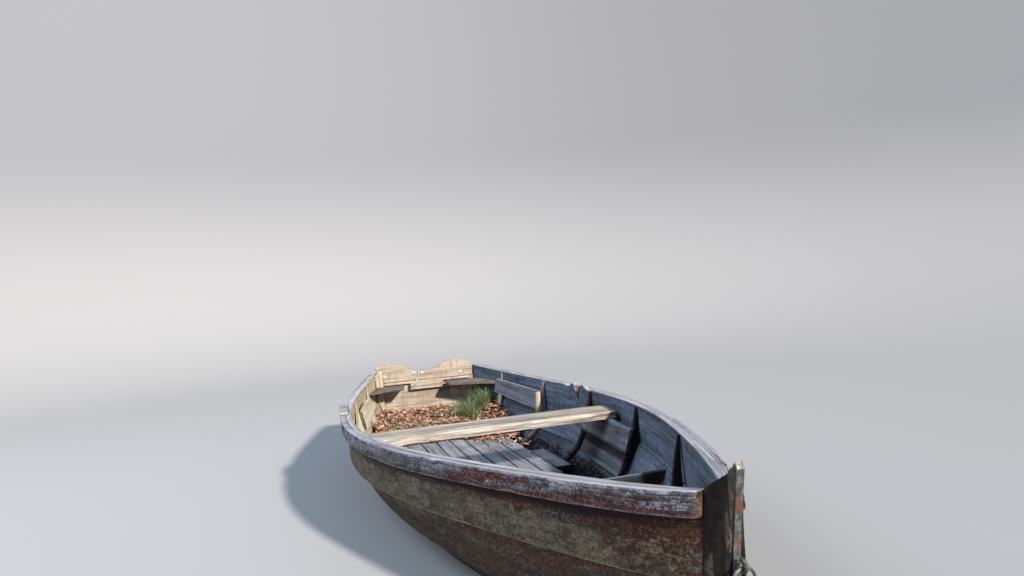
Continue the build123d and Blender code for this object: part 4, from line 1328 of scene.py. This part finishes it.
# ============================================================ worn solids
def worn(name, node, mat, slot, voxel=0.005, axis=2, seed=0, smooth=2, amp=1.0,
         mask=None, body="hull", chips=0.0, grain=None, extra=None):
    """A node's own shape with worn edges: remeshed, smoothed, grain raised."""
    bm = cad_points(node)
    me = bpy.data.meshes.new(name)
    bm.to_mesh(me)
    bm.free()
    ob = bpy.data.objects.new(name + "_tmp", me)
    COLL.objects.link(ob)
    m = ob.modifiers.new("r", "REMESH")
    m.mode = "VOXEL"
    m.voxel_size = voxel
    dg = bpy.context.evaluated_depsgraph_get()
    new = bpy.data.meshes.new_from_object(ob.evaluated_get(dg))
    bpy.data.objects.remove(ob)
    bm = bmesh.new()
    bm.from_mesh(new)
    for _ in range(smooth):
        bmesh.ops.smooth_vert(bm, verts=bm.verts, factor=0.5, use_axis_x=True,
                              use_axis_y=True, use_axis_z=True)
    bm.normal_update()
    P = np.array([tuple(v.co) for v in bm.verts])
    N = np.array([tuple(v.normal) for v in bm.verts])
    q = np.array([1 / 0.012] * 3)
    q[axis] = 5.0
    h = 0.0004 * amp * fbm(P[:, 0] * q[0], P[:, 1] * q[1], P[:, 2] * q[2], 90
                           + seed, 2)
    h -= chips * np.clip(noise(P[:, 0] * 28, P[:, 1] * 28, P[:, 2] * 28,
                               91 + seed) - 0.45, 0, 1) * 0.01
    P = P + N * h[:, None]
    if extra is not None:
        P = extra(P, N)
    for v, p in zip(bm.verts, P):
        v.co = p
    for f in bm.faces:
        f.smooth = True
    bm.to_mesh(new)
    bm.free()
    co = np.zeros(len(new.loops), np.int32)
    new.loops.foreach_get("vertex_index", co)
    fn = np.zeros(len(new.polygons) * 3, np.float32)
    new.polygons.foreach_get("normal", fn)
    fn = fn.reshape(-1, 3)
    tot = np.zeros(len(new.polygons), np.int32)
    new.polygons.foreach_get("loop_total", tot)
    ln = np.repeat(fn, tot, 0)
    p = P[co]
    a = axis
    b, c = [i for i in range(3) if i != a]
    endn = np.abs(ln[:, a]) > 0.8
    tcoord = np.where(np.abs(ln[:, b]) > np.abs(ln[:, c]), p[:, c], p[:, b])
    gr = np.stack([p[:, a], tcoord, np.full(len(p), float(seed))], 1)
    gr[endn] = np.stack([p[endn][:, b] * 0.25, p[endn][:, c],
                         np.full(endn.sum(), seed + 3.0)], 1)
    if grain is not None:
        gr = grain(p, ln, gr)
    set_attr(new, "gr", "FLOAT_VECTOR", "CORNER", gr)
    set_attr(new, "sd", "FLOAT_VECTOR", "CORNER",
             np.tile([0.02, 0.02, 0.0], (len(p), 1)))
    set_attr(new, "endg", "FLOAT", "CORNER", endn.astype(float))
    mk = np.zeros((len(P), 4))
    for ch, val in (mask or simple_mask())(dict(P=P, s=P[:, a], t=P[:, b], v=0.5,
                                                seed=seed, n=N)).items():
        mk[:, "rgba".index(ch)] = val
    set_attr(new, "mk", "FLOAT_COLOR", "POINT", np.clip(mk, 0, 1))
    new.materials.clear()
    new.name = name
    return link(name, new, [mat], body=body, slot=slot, nodes=[node])


def stem_mask(i):
    P, N = i["P"], i["n"]
    n1 = fbm(P[:, 0] * 9, P[:, 1] * 9, P[:, 2] * 5, 301, 4)
    inside = sstep(4.066, 4.060, P[:, 0] - SX)
    front = sstep(4.115, 4.145, P[:, 0] - SX)
    n2 = fbm(P[:, 0] * 40, P[:, 1] * 40, P[:, 2] * 12, 302, 4)
    aft = sstep(4.085, 4.062, P[:, 0] - SX)
    n3 = fbm(P[:, 0] * 75, P[:, 1] * 75, P[:, 2] * 9, 303, 4)
    streaks = sstep(0.08, 0.26, n3 + 0.35 * n1)
    return dict(r=0.05 + 0.6 * n2 + 0.55 * front + 0.35 * aft + 0.3 * streaks,
                g=0.12 + 0.5 * n1 + inside - 0.2 * aft - 0.3 * streaks,
                b=np.clip(0.75 * np.maximum(front, 0.6 * aft) * np.clip(
                    0.5 + 1.6 * n2, 0, 1) + 0.85 * streaks, 0, 1),
                a=0.35 + 0.9 * n1)


for i in range(1, 6):
    for side in ("port", "starboard"):
        nm = f"frame_{i}_{side}"
        # Port frames 3 to 5 get painted shade: their forward and inboard faces are
        # darkened, and they are darker and less pale all over. Starboard frames 1 to 3
        # take the sunlit copy of the inner wood.
        fwd_shade_amount = 1.3 if side == "port" and i >= 3 else 0.0
        worn(nm + "_worn", nm, M_FRAME if side == "port" or i > 3 else M_INNER_SUNLIT,
             "inner_wood", voxel=0.005, axis=2,
             seed=100 + i * 2 + (side == "port"), chips=0.25,
             mask=simple_mask(dark=0.12 + 0.36 * (fwd_shade_amount > 0), pale=0.35 - 0.3 * (
                 fwd_shade_amount > 0), fn=lambda i, m, d=fwd_shade_amount: shade_fwd(i, m, d)))
for side in ("port", "starboard"):
    nm = f"quarter_post_{side}"
    worn(nm + "_worn", nm, M_CREAM, "inner_wood", voxel=0.005, axis=2,
         seed=120 + (side == "port"), chips=0.3)
    # the stern bench boards are darkened all over: painted shade
    nm = f"stern_bench_board_{side}"
    worn(nm + "_worn", nm, M_FRAME, "inner_wood", voxel=0.0045, axis=1,
         seed=124 + (side == "port"), chips=0.5,
         mask=simple_mask(dark=0.35, pale=0.1))
worn("stem_post_worn", "stem_post", M_STEM, "stem_wood", voxel=0.0045, axis=2,
     seed=130, chips=0.3, mask=lambda i: stem_mask(i))
worn("rowlock_block_worn", "rowlock_block_starboard", M_RAILTOP, "rail_wood",
     voxel=0.003, axis=1, seed=131, chips=0.2)
worn("transom_boards_worn", "transom_boards", M_TRANSOM, "transom_wood",
     voxel=0.006, axis=1, seed=132, smooth=1)
worn("transom_top_board_worn", "transom_top_board", M_TRANSOM, "transom_wood",
     voxel=0.005, axis=1, seed=133)


# ============================================================ metal
def mat_galv(name):
    T = Tree(name)
    tc = T.add("ShaderNodeTexCoord").outputs["Object"]
    n1 = T.noise(tc, 60.0, 5.0, 0.65)
    n2 = T.noise(tc, 14.0, 4.0, 0.6)
    col = T.ramp(n1, [(0.3, lin(58, 56, 53)), (0.5, lin(104, 102, 98)),
                      (0.75, lin(164, 164, 160))])
    rust = T.map(n2, 0.50, 0.60, 0.0, 0.85)
    col = T.mix(rust, col, lin(98, 62, 40))
    rough = T.map(n1, 0.3, 0.8, 0.62, 0.38)
    nrm = T.bump(T.noise(tc, 240.0, 4.0, 0.6), 0.0006, 0.6)
    metal = T.map(rust, 0.0, 0.8, 0.65, 0.1)
    return T.done(col, rough, nrm, spec=0.5, metal=metal)


M_GALV = mat_galv("galvanised")
for nm in ("stem_band", "mooring_eye", "mooring_ring"):
    NODES[nm].data.materials.clear()
    NODES[nm].data.materials.append(M_GALV)
for nm in ("bottom_planks", "bottom_runners"):
    NODES[nm].data.materials.clear()


def mat_object_wood(name, dark, mid, light):
    """Wood on carried-over boards, the grain along X."""
    T = Tree(name)
    tc = T.add("ShaderNodeTexCoord").outputs["Object"]
    x, y, z = T.sep(tc)
    yz = T.math("ADD", y, z)
    fib = T.noise(T.vec(T.math("MULTIPLY", x, 5.0), T.math("MULTIPLY", yz, 220.0),
                        1.0), 1.0, 4.0, 0.6)
    stk = T.noise(T.vec(T.math("MULTIPLY", x, 1.5), T.math("MULTIPLY", yz, 40.0),
                        4.0), 1.0, 3.0)
    blo = T.noise(tc, 6.0, 5.0, 0.65)
    m = T.math("ADD", T.math("MULTIPLY", fib, 0.5), T.math("MULTIPLY", stk, 0.5))
    col = T.ramp(T.map(m, 0.34, 0.66), [(0, dark), (0.5, mid), (1, light)])
    col = T.mix(T.map(blo, 0.46, 0.62, 0, 0.85), col, lin(36, 29, 23))
    nrm = T.bump(T.math("ADD", fib, stk), 0.0012)
    return T.done(col, T.map(fib, 0.3, 0.7, 0.96, 0.8), nrm, spec=0.22)


M_BOTTOM = mat_object_wood("bottom_wood", lin(40, 33, 27), lin(74, 64, 54),
                           lin(104, 94, 82))
for nm in ("bottom_planks", "bottom_runners"):
    NODES[nm].data.materials.append(M_BOTTOM)

# ============================================================ small things
class Plain:
    """Loose small pieces in one mesh: points, faces and a value per piece."""

    def __init__(self):
        self.v, self.f, self.c, self.n = [], [], [], 0

    def put(self, verts, faces, value):
        verts = np.asarray(verts, float)
        self.v.append(verts)
        self.f += [tuple(i + self.n for i in f) for f in faces]
        self.c.append(np.full(len(verts), value))
        self.n += len(verts)

    def finish(self, name, mats, smooth=True, **kw):
        me = bpy.data.meshes.new(name)
        me.from_pydata(np.concatenate(self.v).tolist(), [], self.f)
        me.polygons.foreach_set("use_smooth", [smooth] * len(self.f))
        set_attr(me, "val", "FLOAT", "POINT", np.concatenate(self.c))
        return link(name, me, mats, **kw)


def frame_of(n, ahead=(1.0, 0.0, 0.0)):
    n = np.asarray(n, float) / np.linalg.norm(n)
    if abs(np.dot(ahead, n)) > 0.97 * np.linalg.norm(ahead):
        ahead = (0.0, 1.0, 0.0)
    a = np.asarray(ahead, float) - n * np.dot(ahead, n)
    a /= np.linalg.norm(a)
    return a, np.cross(n, a), n


def dome(p, n, r, h, value, buf, sides=8, sink=0.001):
    """A low round head on a surface."""
    a, b, n = frame_of(n)
    rings = [(1.0, -sink), (1.0, h * 0.35), (0.72, h * 0.85)]
    V = []
    for k, z in rings:
        for j in range(sides):
            t = 2 * math.pi * j / sides
            V.append(p + a * r * k * math.cos(t) + b * r * k * math.sin(t) + n * z)
    V.append(p + n * h)
    F = []
    for i in range(2):
        for j in range(sides):
            q = (j + 1) % sides
            F.append((i * sides + j, i * sides + q, (i + 1) * sides + q,
                      (i + 1) * sides + j))
    for j in range(sides):
        F.append((2 * sides + j, 2 * sides + (j + 1) % sides, 3 * sides))
    buf.put(V, F, value)


def mat_small(name, stops, rough=0.8, metal=0.0, scale=90.0, spread=0.25):
    T = Tree(name)
    tc = T.add("ShaderNodeTexCoord").outputs["Object"]
    v = T.attr("val", "Fac")
    k = T.math("ADD", v, T.math("MULTIPLY", T.math(
        "SUBTRACT", T.noise(tc, scale, 4.0, 0.65), 0.5), spread * 2))
    nrm = T.bump(T.noise(tc, scale * 3, 3.0), 0.0008, 0.7)
    return T.done(T.ramp(k, stops), rough, nrm, spec=0.25, metal=metal)


M_IRON = mat_small("iron_heads", [(0.0, lin(34, 24, 20)), (0.5, lin(62, 42, 32)),
                                  (1.0, lin(96, 72, 58))], 0.7, 0.3, 300.0)
M_ZINC = mat_small("washers", [(0.0, lin(120, 130, 126)), (0.5, lin(176, 186, 180)),
                               (1.0, lin(214, 222, 216))], 0.5, 0.5, 200.0)
rg = np.random.default_rng(77)
heads = Plain()
for side in ("port", "starboard"):
    sgn = 1 if side == "port" else -1
    for key, pitch in (("upper", 0.058), ("middle", 0.058)):
        x, s_, C = ARC[f"{key}_strake_{side}"]
        for d in np.arange(0.05, s_[-1] - 0.03, pitch):
            i = int(np.searchsorted(s_, d + rg.uniform(-0.008, 0.008)))
            i = min(max(i, 1), len(s_) - 2)
            u = C[i, 1] - C[i, 0]
            u /= np.linalg.norm(u)
            t = C[i + 1, 0] - C[i - 1, 0]
            n = np.cross(t, u) * sgn
            n /= np.linalg.norm(n)
            n = n if n[1] * sgn > 0 else -n
            dome(C[i, 0] + u * 0.013, n, 0.0032, 0.0016, rg.random(), heads, 6)
    # clenched ends inside, under each lap
    for key in ("middle", "lower"):
        x, s_, C = ARC[f"{key}_strake_{side}"]
        for d in np.arange(0.05, s_[-1] - 0.2, 0.052):
            i = int(np.searchsorted(s_, d + rg.uniform(-0.006, 0.006)))
            i = min(max(i, 1), len(s_) - 2)
            u = C[i, 4] - C[i, 3]
            u /= np.linalg.norm(u)
            t = C[i + 1, 3] - C[i - 1, 3]
            n = np.cross(t, u)
            n /= np.linalg.norm(n)
            n = n if n[1] * sgn < 0 else -n
            t /= np.linalg.norm(t)
            p0 = C[i, 3] + u * 0.009
            p1 = p0 + u * rg.uniform(0.009, 0.013) - t * rg.uniform(0.002, 0.006)
            w = t * 0.0016
            V = [p0 - w, p0 + w, p1 + w * 0.6, p1 - w * 0.6]
            V = V + [q + n * 0.0016 for q in V]
            V = [q - n * 0.0008 for q in V[:4]] + V[4:]
            heads.put(V, [(4, 5, 6, 7), (0, 1, 5, 4), (1, 2, 6, 5), (2, 3, 7, 6),
                          (3, 0, 4, 7)], rg.random() * 0.6)
    # screws through the rail
    x, s_, C = ARC["gunwale_rail_" + side]
    for d in np.arange(0.12, s_[-1], 0.235):
        i = min(max(int(np.searchsorted(s_, d + rg.uniform(-0.02, 0.02))), 1),
                len(s_) - 2)
        u = C[i, 2] - C[i, 1]
        t = C[i + 1, 1] - C[i - 1, 1]
        n = np.cross(t, u)
        n /= np.linalg.norm(n)
        n = n if n[1] * sgn > 0 else -n
        dome(C[i, 1] + u * rg.uniform(0.40, 0.60), n, 0.0045, 0.0016,
             rg.random(), heads, 8)
# nails in the floorboards over each floor timber
for part in loose_parts("floorboards"):
    lo, hi = part.min(0), part.max(0)
    for fx_ in (0.434, 0.994, 1.634, 2.334, 3.184):
        X = SX + fx_
        if lo[0] + 0.01 < X < hi[0] - 0.01:
            for y in (lo[1] + 0.02, hi[1] - 0.02):
                dome(np.array([X + rg.uniform(-.006, .006), y, hi[2]]),
                     (0, 0, 1), 0.0032, 0.0012, rg.random() * 0.5, heads, 6)
heads.finish("nail_heads", [M_IRON], smooth=False, slot="galvanised_steel")

# washers and bolt heads on the transom's top board, inside and outside
wash = Plain()
for y, z, r in ((-0.326, 0.518, 0.015), (0.276, 0.504, 0.014),
                (-0.098, 0.529, 0.013), (-0.031, 0.524, 0.013)):
    for x, n in ((SX + 0.0352, (1, 0, 0)), (SX, (-1, 0, 0))):
        p = np.array([x, y, z])
        dome(p, n, r, 0.0028, 0.75, wash, 16)
        dome(p + np.array(n) * 0.002, n, r * 0.42, 0.006, 0.25, wash, 6)
wash.finish("transom_washers", [M_ZINC], smooth=False, slot="galvanised_steel")

# what is left of a strap on the top board
M_STRAP = mat_small("old_strap", [(0.0, lin(112, 120, 112)), (0.5, lin(166, 174, 166)),
                                  (1.0, lin(206, 210, 200))], 0.85, 0.0, 120.0)
strap = Plain()
path = np.array([(-0.004, -0.040, 0.520), (-0.004, -0.046, 0.548),
                 (0.010, -0.049, 0.556), (0.030, -0.053, 0.555),
                 (0.040, -0.057, 0.535), (0.040, -0.060, 0.508),
                 (0.040, -0.070, 0.486), (0.066, -0.086, 0.472),
                 (0.084, -0.104, 0.456), (0.082, -0.128, 0.432)])
path[:, 0] += SX
tt_ = np.linspace(0, 1, 46)
cum = np.concatenate([[0], np.cumsum(np.linalg.norm(np.diff(path, axis=0), axis=1))])
cur = spline(cum, path, tt_ * cum[-1])
V, F = [], []
for i, p in enumerate(cur):
    d = cur[min(i + 1, 45)] - cur[max(i - 1, 0)]
    side_v = np.cross(d, (1.0, 0.15, 0.2))
    side_v /= np.linalg.norm(side_v) + 1e-9
    nn_ = np.cross(side_v, d)
    nn_ /= np.linalg.norm(nn_) + 1e-9
    w = 0.007 * (1 + 0.25 * noise(i * 0.6, 0, 0, 9))
    for a_, b_ in ((-1, -1), (1, -1), (1, 1), (-1, 1)):
        V.append(p + side_v * w * a_ + nn_ * 0.0011 * b_)
for i in range(45):
    for j in range(4):
        q = (j + 1) % 4
        F.append((i * 4 + j, i * 4 + q, i * 4 + 4 + q, i * 4 + 4 + j))
F += [(3, 2, 1, 0), (180, 181, 182, 183)]
strap.put(V, F, 0.5)
strap.finish("transom_strap", [M_STRAP], slot="leaves")

# the upright cleat at the end of the port aft riser
buf = Buf()
xc, r0, r1 = SX + 1.001, [], []
for z, ring in ((0.298, r0), (0.434, r1)):
    yo = float(inner_y(SX + 1.0, z)[0]) - 0.040
    ring += [(xc, yo - 0.028, z), (xc + 0.026, yo - 0.028, z), (xc + 0.026, yo, z),
             (xc, yo, z)]
board(buf, r0, r1, step=0.012, seed=151, rows=0.004, radii=0.002,
      cracks=random_cracks((0, 1), 0.13, 2, 151, 0.001, 0.003, 0.05, 0.1),
      mask=simple_mask(pale=0.35))
buf.finish("riser_cleat", [M_CREAM], slot="inner_wood")


# ============================================================ leaves and grass
def heap_z(x, y):
    """Height of the heap, in the boat's own x from the transom."""
    z = np.interp(x, [0.084, 0.38, 0.835], [0.262, 0.232, 0.142])
    z = z - 0.022 * sstep(-0.05, 0.20, y) * sstep(0.30, 0.10, x)
    z = z + 0.040 * sstep(0.24, 0.40, y) * bump(x, 0.42, 0.34)
    z = z - 0.050 * sstep(0.66, 0.80, x) * sstep(0.22, 0.00, y)
    e = inner_y(np.clip(x, 0.05, 1.2) + SX, 0.24) - 0.06
    edge = np.clip((np.abs(y) - 0.75 * e) / (0.25 * e), 0, 1)
    z = z + 0.020 * fbm(x * 9, y * 9, 0, 201, 3) + 0.014 * bump(
        x, 0.55, 0.25) * bump(y, 0.1, 0.3) + 0.02 * edge
    return z


M_SOIL = mat_small("litter_base", [(0.0, lin(34, 22, 16)), (0.5, lin(78, 50, 36)),
                                   (1.0, lin(124, 88, 64))], 0.95, 0.0, 60.0, 0.6)
M_LEAF = mat_small("dead_leaves", [(0.0, lin(112, 74, 58)), (0.35, lin(160, 116, 94)),
                                   (0.65, lin(190, 150, 126)),
                                   (1.0, lin(216, 188, 162))], 0.8, 0.0, 70.0, 0.22)
M_GRASS = mat_small("grass_blades", [(0.0, lin(62, 84, 48)), (0.4, lin(120, 142, 92)),
                                     (0.72, lin(176, 184, 142)),
                                     (1.0, lin(204, 186, 140))], 0.7, 0.0, 20.0, 0.1)
heap = Plain()
gx = np.linspace(0.080, 0.86, 46)
nv = 41
V, F = [], []
for i, x in enumerate(gx):
    e = float(inner_y(x + SX, 0.22)[0]) - 0.035
    ys = np.linspace(-e, e, nv)
    zs = heap_z(np.full(nv, x), ys)
    drop = sstep(0.80, 0.86, x) * 0.03
    V += [(x + SX, y, z - drop) for y, z in zip(ys, zs)]
for i in range(len(gx) - 1):
    for j in range(nv - 1):
        F.append((i * nv + j, (i + 1) * nv + j, (i + 1) * nv + j + 1,
                  i * nv + j + 1))
top = len(V)
# closed below, so that it is a solid mound
for i, x in enumerate(gx):
    for j in (0, nv - 1):
        V.append((x + SX, V[i * nv + j][1] * 0.93, 0.12))
for i in range(len(gx) - 1):
    a0, a1 = top + 2 * i, top + 2 * i + 2
    F.append((i * nv, a0, a1, (i + 1) * nv))
    F.append((i * nv + nv - 1, (i + 1) * nv + nv - 1, a1 + 1, a0 + 1))
    F.append((a0, a0 + 1, a1 + 1, a1))
F.append(tuple([top + 1, top] + list(range(0, nv))))
F.append(tuple([top + 2 * len(gx) - 2, top + 2 * len(gx) - 1]
               + list(range((len(gx) - 1) * nv + nv - 1, (len(gx) - 1) * nv - 1,
                            -1))))
heap.put(V, F, 0.4)


def leaf(p, n, size, yaw, curl, value, buf):
    """One dry curled leaf."""
    a, b, n = frame_of(n, (math.cos(yaw), math.sin(yaw), 0.1))
    outline = [(-1.0, 0.02), (-0.45, 0.34), (0.15, 0.42), (0.7, 0.22), (1.0, 0.0)]
    V = []
    for u, w in outline:
        lift = curl * (u * u) * 0.5
        for k in (-1, 0, 1):
            V.append(p + a * u * size + b * w * k * size
                     + n * size * (lift + 0.30 * abs(k) * w * (1 + curl)))
    F = []
    for i in range(4):
        for k in range(2):
            q = i * 3 + k
            F.append((q, q + 3, q + 4, q + 1))
    buf.put(V, F, value)


rg = np.random.default_rng(2024)
leaves = Plain()
for _ in range(3400):
    x = 0.09 + 0.80 * rg.random() ** 0.9
    e = float(np.interp(x, [0.08, 0.4, 0.9], [0.33, 0.46, 0.50]))
    y = rg.uniform(-e, e)
    z = float(heap_z(np.array([x]), np.array([y]))[0]) + rg.uniform(-0.002, 0.014)
    if (z < 0.134 or x > 0.80) and y < 0.16:
        continue
    if x > 0.84 or z < 0.134:
        z = max(z - 0.03, 0.133)
    n = np.array([rg.normal(0, 0.45), rg.normal(0, 0.45), 1.0])
    leaf(np.array([x + SX, y, z]), n, rg.uniform(0.012, 0.026),
         rg.uniform(0, 6.28), rg.uniform(-0.4, 0.9), rg.random(), leaves)
# strays on the floorboards and in the bilge
for _ in range(420):
    x = rg.uniform(0.84, 1.42)
    y = rg.uniform(-0.42, 0.46)
    keep_ = (math.exp(-((x - 0.9) / 0.20) ** 2) + (0.30 if x > 1.0 else 0.0)
             ) * float(sstep(0.05, 0.30, y)) + 0.025
    if rg.random() > keep_:
        continue
    leaf(np.array([x + SX, y, 0.132 + rg.uniform(0, 0.006)]),
         (rg.normal(0, 0.3), rg.normal(0, 0.3), 1), rg.uniform(0.010, 0.022),
         rg.uniform(0, 6.28), rg.uniform(0, 0.8), rg.random(), leaves)
for _ in range(620):
    x = rg.uniform(1.0, 2.9)
    base = float(inner_y(x + SX, 0.11)[0])
    y = base - rg.uniform(0.0, 0.075)
    z = 0.085 + 0.06 * (1 - (base - y) / 0.075) + rg.uniform(0, 0.012)
    sg = 1 if rg.random() < 0.7 else -1
    leaf(np.array([x + SX, sg * y, z]), (rg.normal(0, 0.5), rg.normal(0, 0.5), 1),
         rg.uniform(0.008, 0.020), rg.uniform(0, 6.28), rg.uniform(0, 0.9),
         rg.random() * 0.6 - 0.1, heap)
n_soil = len(heap.f)
heap.v += leaves.v
heap.f += [tuple(i + heap.n for i in f) for f in leaves.f]
heap.c += leaves.c
heap.n += leaves.n
ob = heap.finish("leaf_heap", [M_SOIL, M_LEAF], smooth=False, slot="leaves",
                 nodes=["leaf_litter"])
mi = np.zeros(len(heap.f), np.int32)
mi[n_soil:] = 1
ob.data.polygons.foreach_set("material_index", mi)

grass = Plain()
clumps = [(rg.uniform(-1.0, 1.0), rg.normal(0.0, 0.8), rg.uniform(0, 6.28))
          for _ in range(24)]
for k in range(1150):
    along, off_, yaw0 = clumps[k % len(clumps)]
    along, off_ = along + rg.normal(0, 0.13), off_ + rg.normal(0, 0.35)
    cx_ = 0.415 - 0.100 * along + 0.040 * off_
    cy_ = 0.300 + 0.115 * along + 0.028 * off_
    z0 = float(heap_z(np.array([cx_]), np.array([cy_]))[0]) - 0.004
    yaw = yaw0 + rg.normal(0.0, 1.2)
    d = np.array([math.cos(yaw), math.sin(yaw), 0.0])
    L = rg.uniform(0.05, 0.185)
    lean = rg.uniform(0.35, 1.05)
    wdt = rg.uniform(0.0014, 0.0026)
    sd_ = np.array([-d[1], d[0], 0.0])
    V, F = [], []
    for i in range(5):
        u = i / 4
        c = np.array([cx_ + SX, cy_, z0]) + d * L * lean * u * u + np.array(
            [0, 0, L * (u - 0.35 * lean * u * u)])
        for q in (-1, 1):
            V.append(c + sd_ * wdt * q * (1 - 0.85 * u))
    for i in range(4):
        F.append((2 * i, 2 * i + 1, 2 * i + 3, 2 * i + 2))
    grass.put(V, F, min(0.85, max(0.0, rg.normal(0.38, 0.30))))
# old straw flat on the leaves
for k in range(420):
    cx_, cy_ = rg.uniform(0.34, 0.80), rg.uniform(-0.40, 0.10)
    z0 = float(heap_z(np.array([cx_]), np.array([cy_]))[0]) + rg.uniform(
        0.006, 0.020)
    if z0 < 0.15:
        continue
    yaw = rg.normal(1.2, 0.9)
    d = np.array([math.cos(yaw), math.sin(yaw), rg.normal(0, 0.12)])
    sd_ = np.array([-d[1], d[0], 0.0])
    L, wdt = rg.uniform(0.04, 0.11), rg.uniform(0.0012, 0.0022)
    V = []
    for i in range(4):
        u = i / 3 - 0.5
        c = np.array([cx_ + SX, cy_, z0]) + d * L * u + np.array(
            [0, 0, -0.03 * u * u])
        V += [c - sd_ * wdt, c + sd_ * wdt]
    grass.put(V, [(2 * i, 2 * i + 1, 2 * i + 3, 2 * i + 2) for i in range(3)],
              rg.uniform(0.82, 1.0))
grass.finish("grass_tuft", [M_GRASS], slot="leaves")

# ============================================================ stage
# a plain pale floor that rises into a backdrop behind the boat
rad = np.array([0, 2, 4, 6, 7, 8, 9, 10, 11, 12, 13, 14, 15, 16, 17, 18, 19, 20,
                22, 24], float)
ang = np.radians(np.arange(0, 360, 5.0))
rr, aa = np.meshgrid(rad[1:], ang, indexing="ij")
wall = sstep(0.15, 0.85, 0.5 - 0.5 * np.cos(aa - 0.3))
rise = np.clip((rr - 7.0) / 10.0, 0, None) ** 2 * 6.5
fv = np.concatenate([[[0, 0, 0]], np.stack([rr * np.cos(aa), rr * np.sin(aa),
                                            rise * wall], -1).reshape(-1, 3)])
n_ang = len(ang)
ff = [(0, 1 + j, 1 + (j + 1) % n_ang) for j in range(n_ang)]
for i in range(len(rad) - 2):
    for j in range(n_ang):
        a0, a1 = 1 + i * n_ang + j, 1 + i * n_ang + (j + 1) % n_ang
        ff.append((a0, a0 + n_ang, a1 + n_ang, a1))
floor_me = bpy.data.meshes.new("floor")
floor_me.from_pydata(fv.tolist(), [], ff)
floor_me.polygons.foreach_set("use_smooth", [True] * len(ff))
floor = bpy.data.objects.new("floor", floor_me)
COLL.objects.link(floor)
T = Tree("floor_plain")
fx, fy, fz = T.sep(T.add("ShaderNodeTexCoord").outputs["Object"])
# the colour darkens as the backdrop rises: painted shade that offsets the stronger key
# light on its slope
T.done(T.ramp(T.map(fz, 0.0, 5.0, 0.0, 1.0), [
    (0.0, (0.50, 0.49, 0.48)), (1.0, (0.30, 0.30, 0.31))]), 0.9, spec=0.1)
floor_me.materials.append(T.mat)

world = bpy.data.worlds.new("studio")
scene.world = world
world.use_nodes = True
bg = world.node_tree.nodes["Background"]
bg.inputs["Color"].default_value = (0.42, 0.65, 1.0, 1)
bg.inputs["Strength"].default_value = 0.38
scene.view_settings.view_transform = "Standard"
scene.view_settings.look = "None"


def aim(o, loc, target):
    o.location = loc
    o.rotation_mode = "QUATERNION"
    o.rotation_quaternion = (Vector(target) - Vector(loc)).to_track_quat("-Z", "Y")
    COLL.objects.link(o)


sun = bpy.data.lights.new("key", "SUN")
sun.energy = 5.2
sun.angle = math.radians(3.5)
sun.color = (1.0, 0.94, 0.87)
aim(bpy.data.objects.new("key", sun), (8.1, 2.9, 4.4), (0.0, 0.0, 0.0))
sky = bpy.data.lights.new("fill", "AREA")
sky.shape = "DISK"
sky.size = 5.0
sky.energy = 260.0
sky.color = (0.72, 0.84, 1.0)
aim(bpy.data.objects.new("fill", sky), (0.5, -5.5, 5.5), (0.0, 0.3, 0.2))
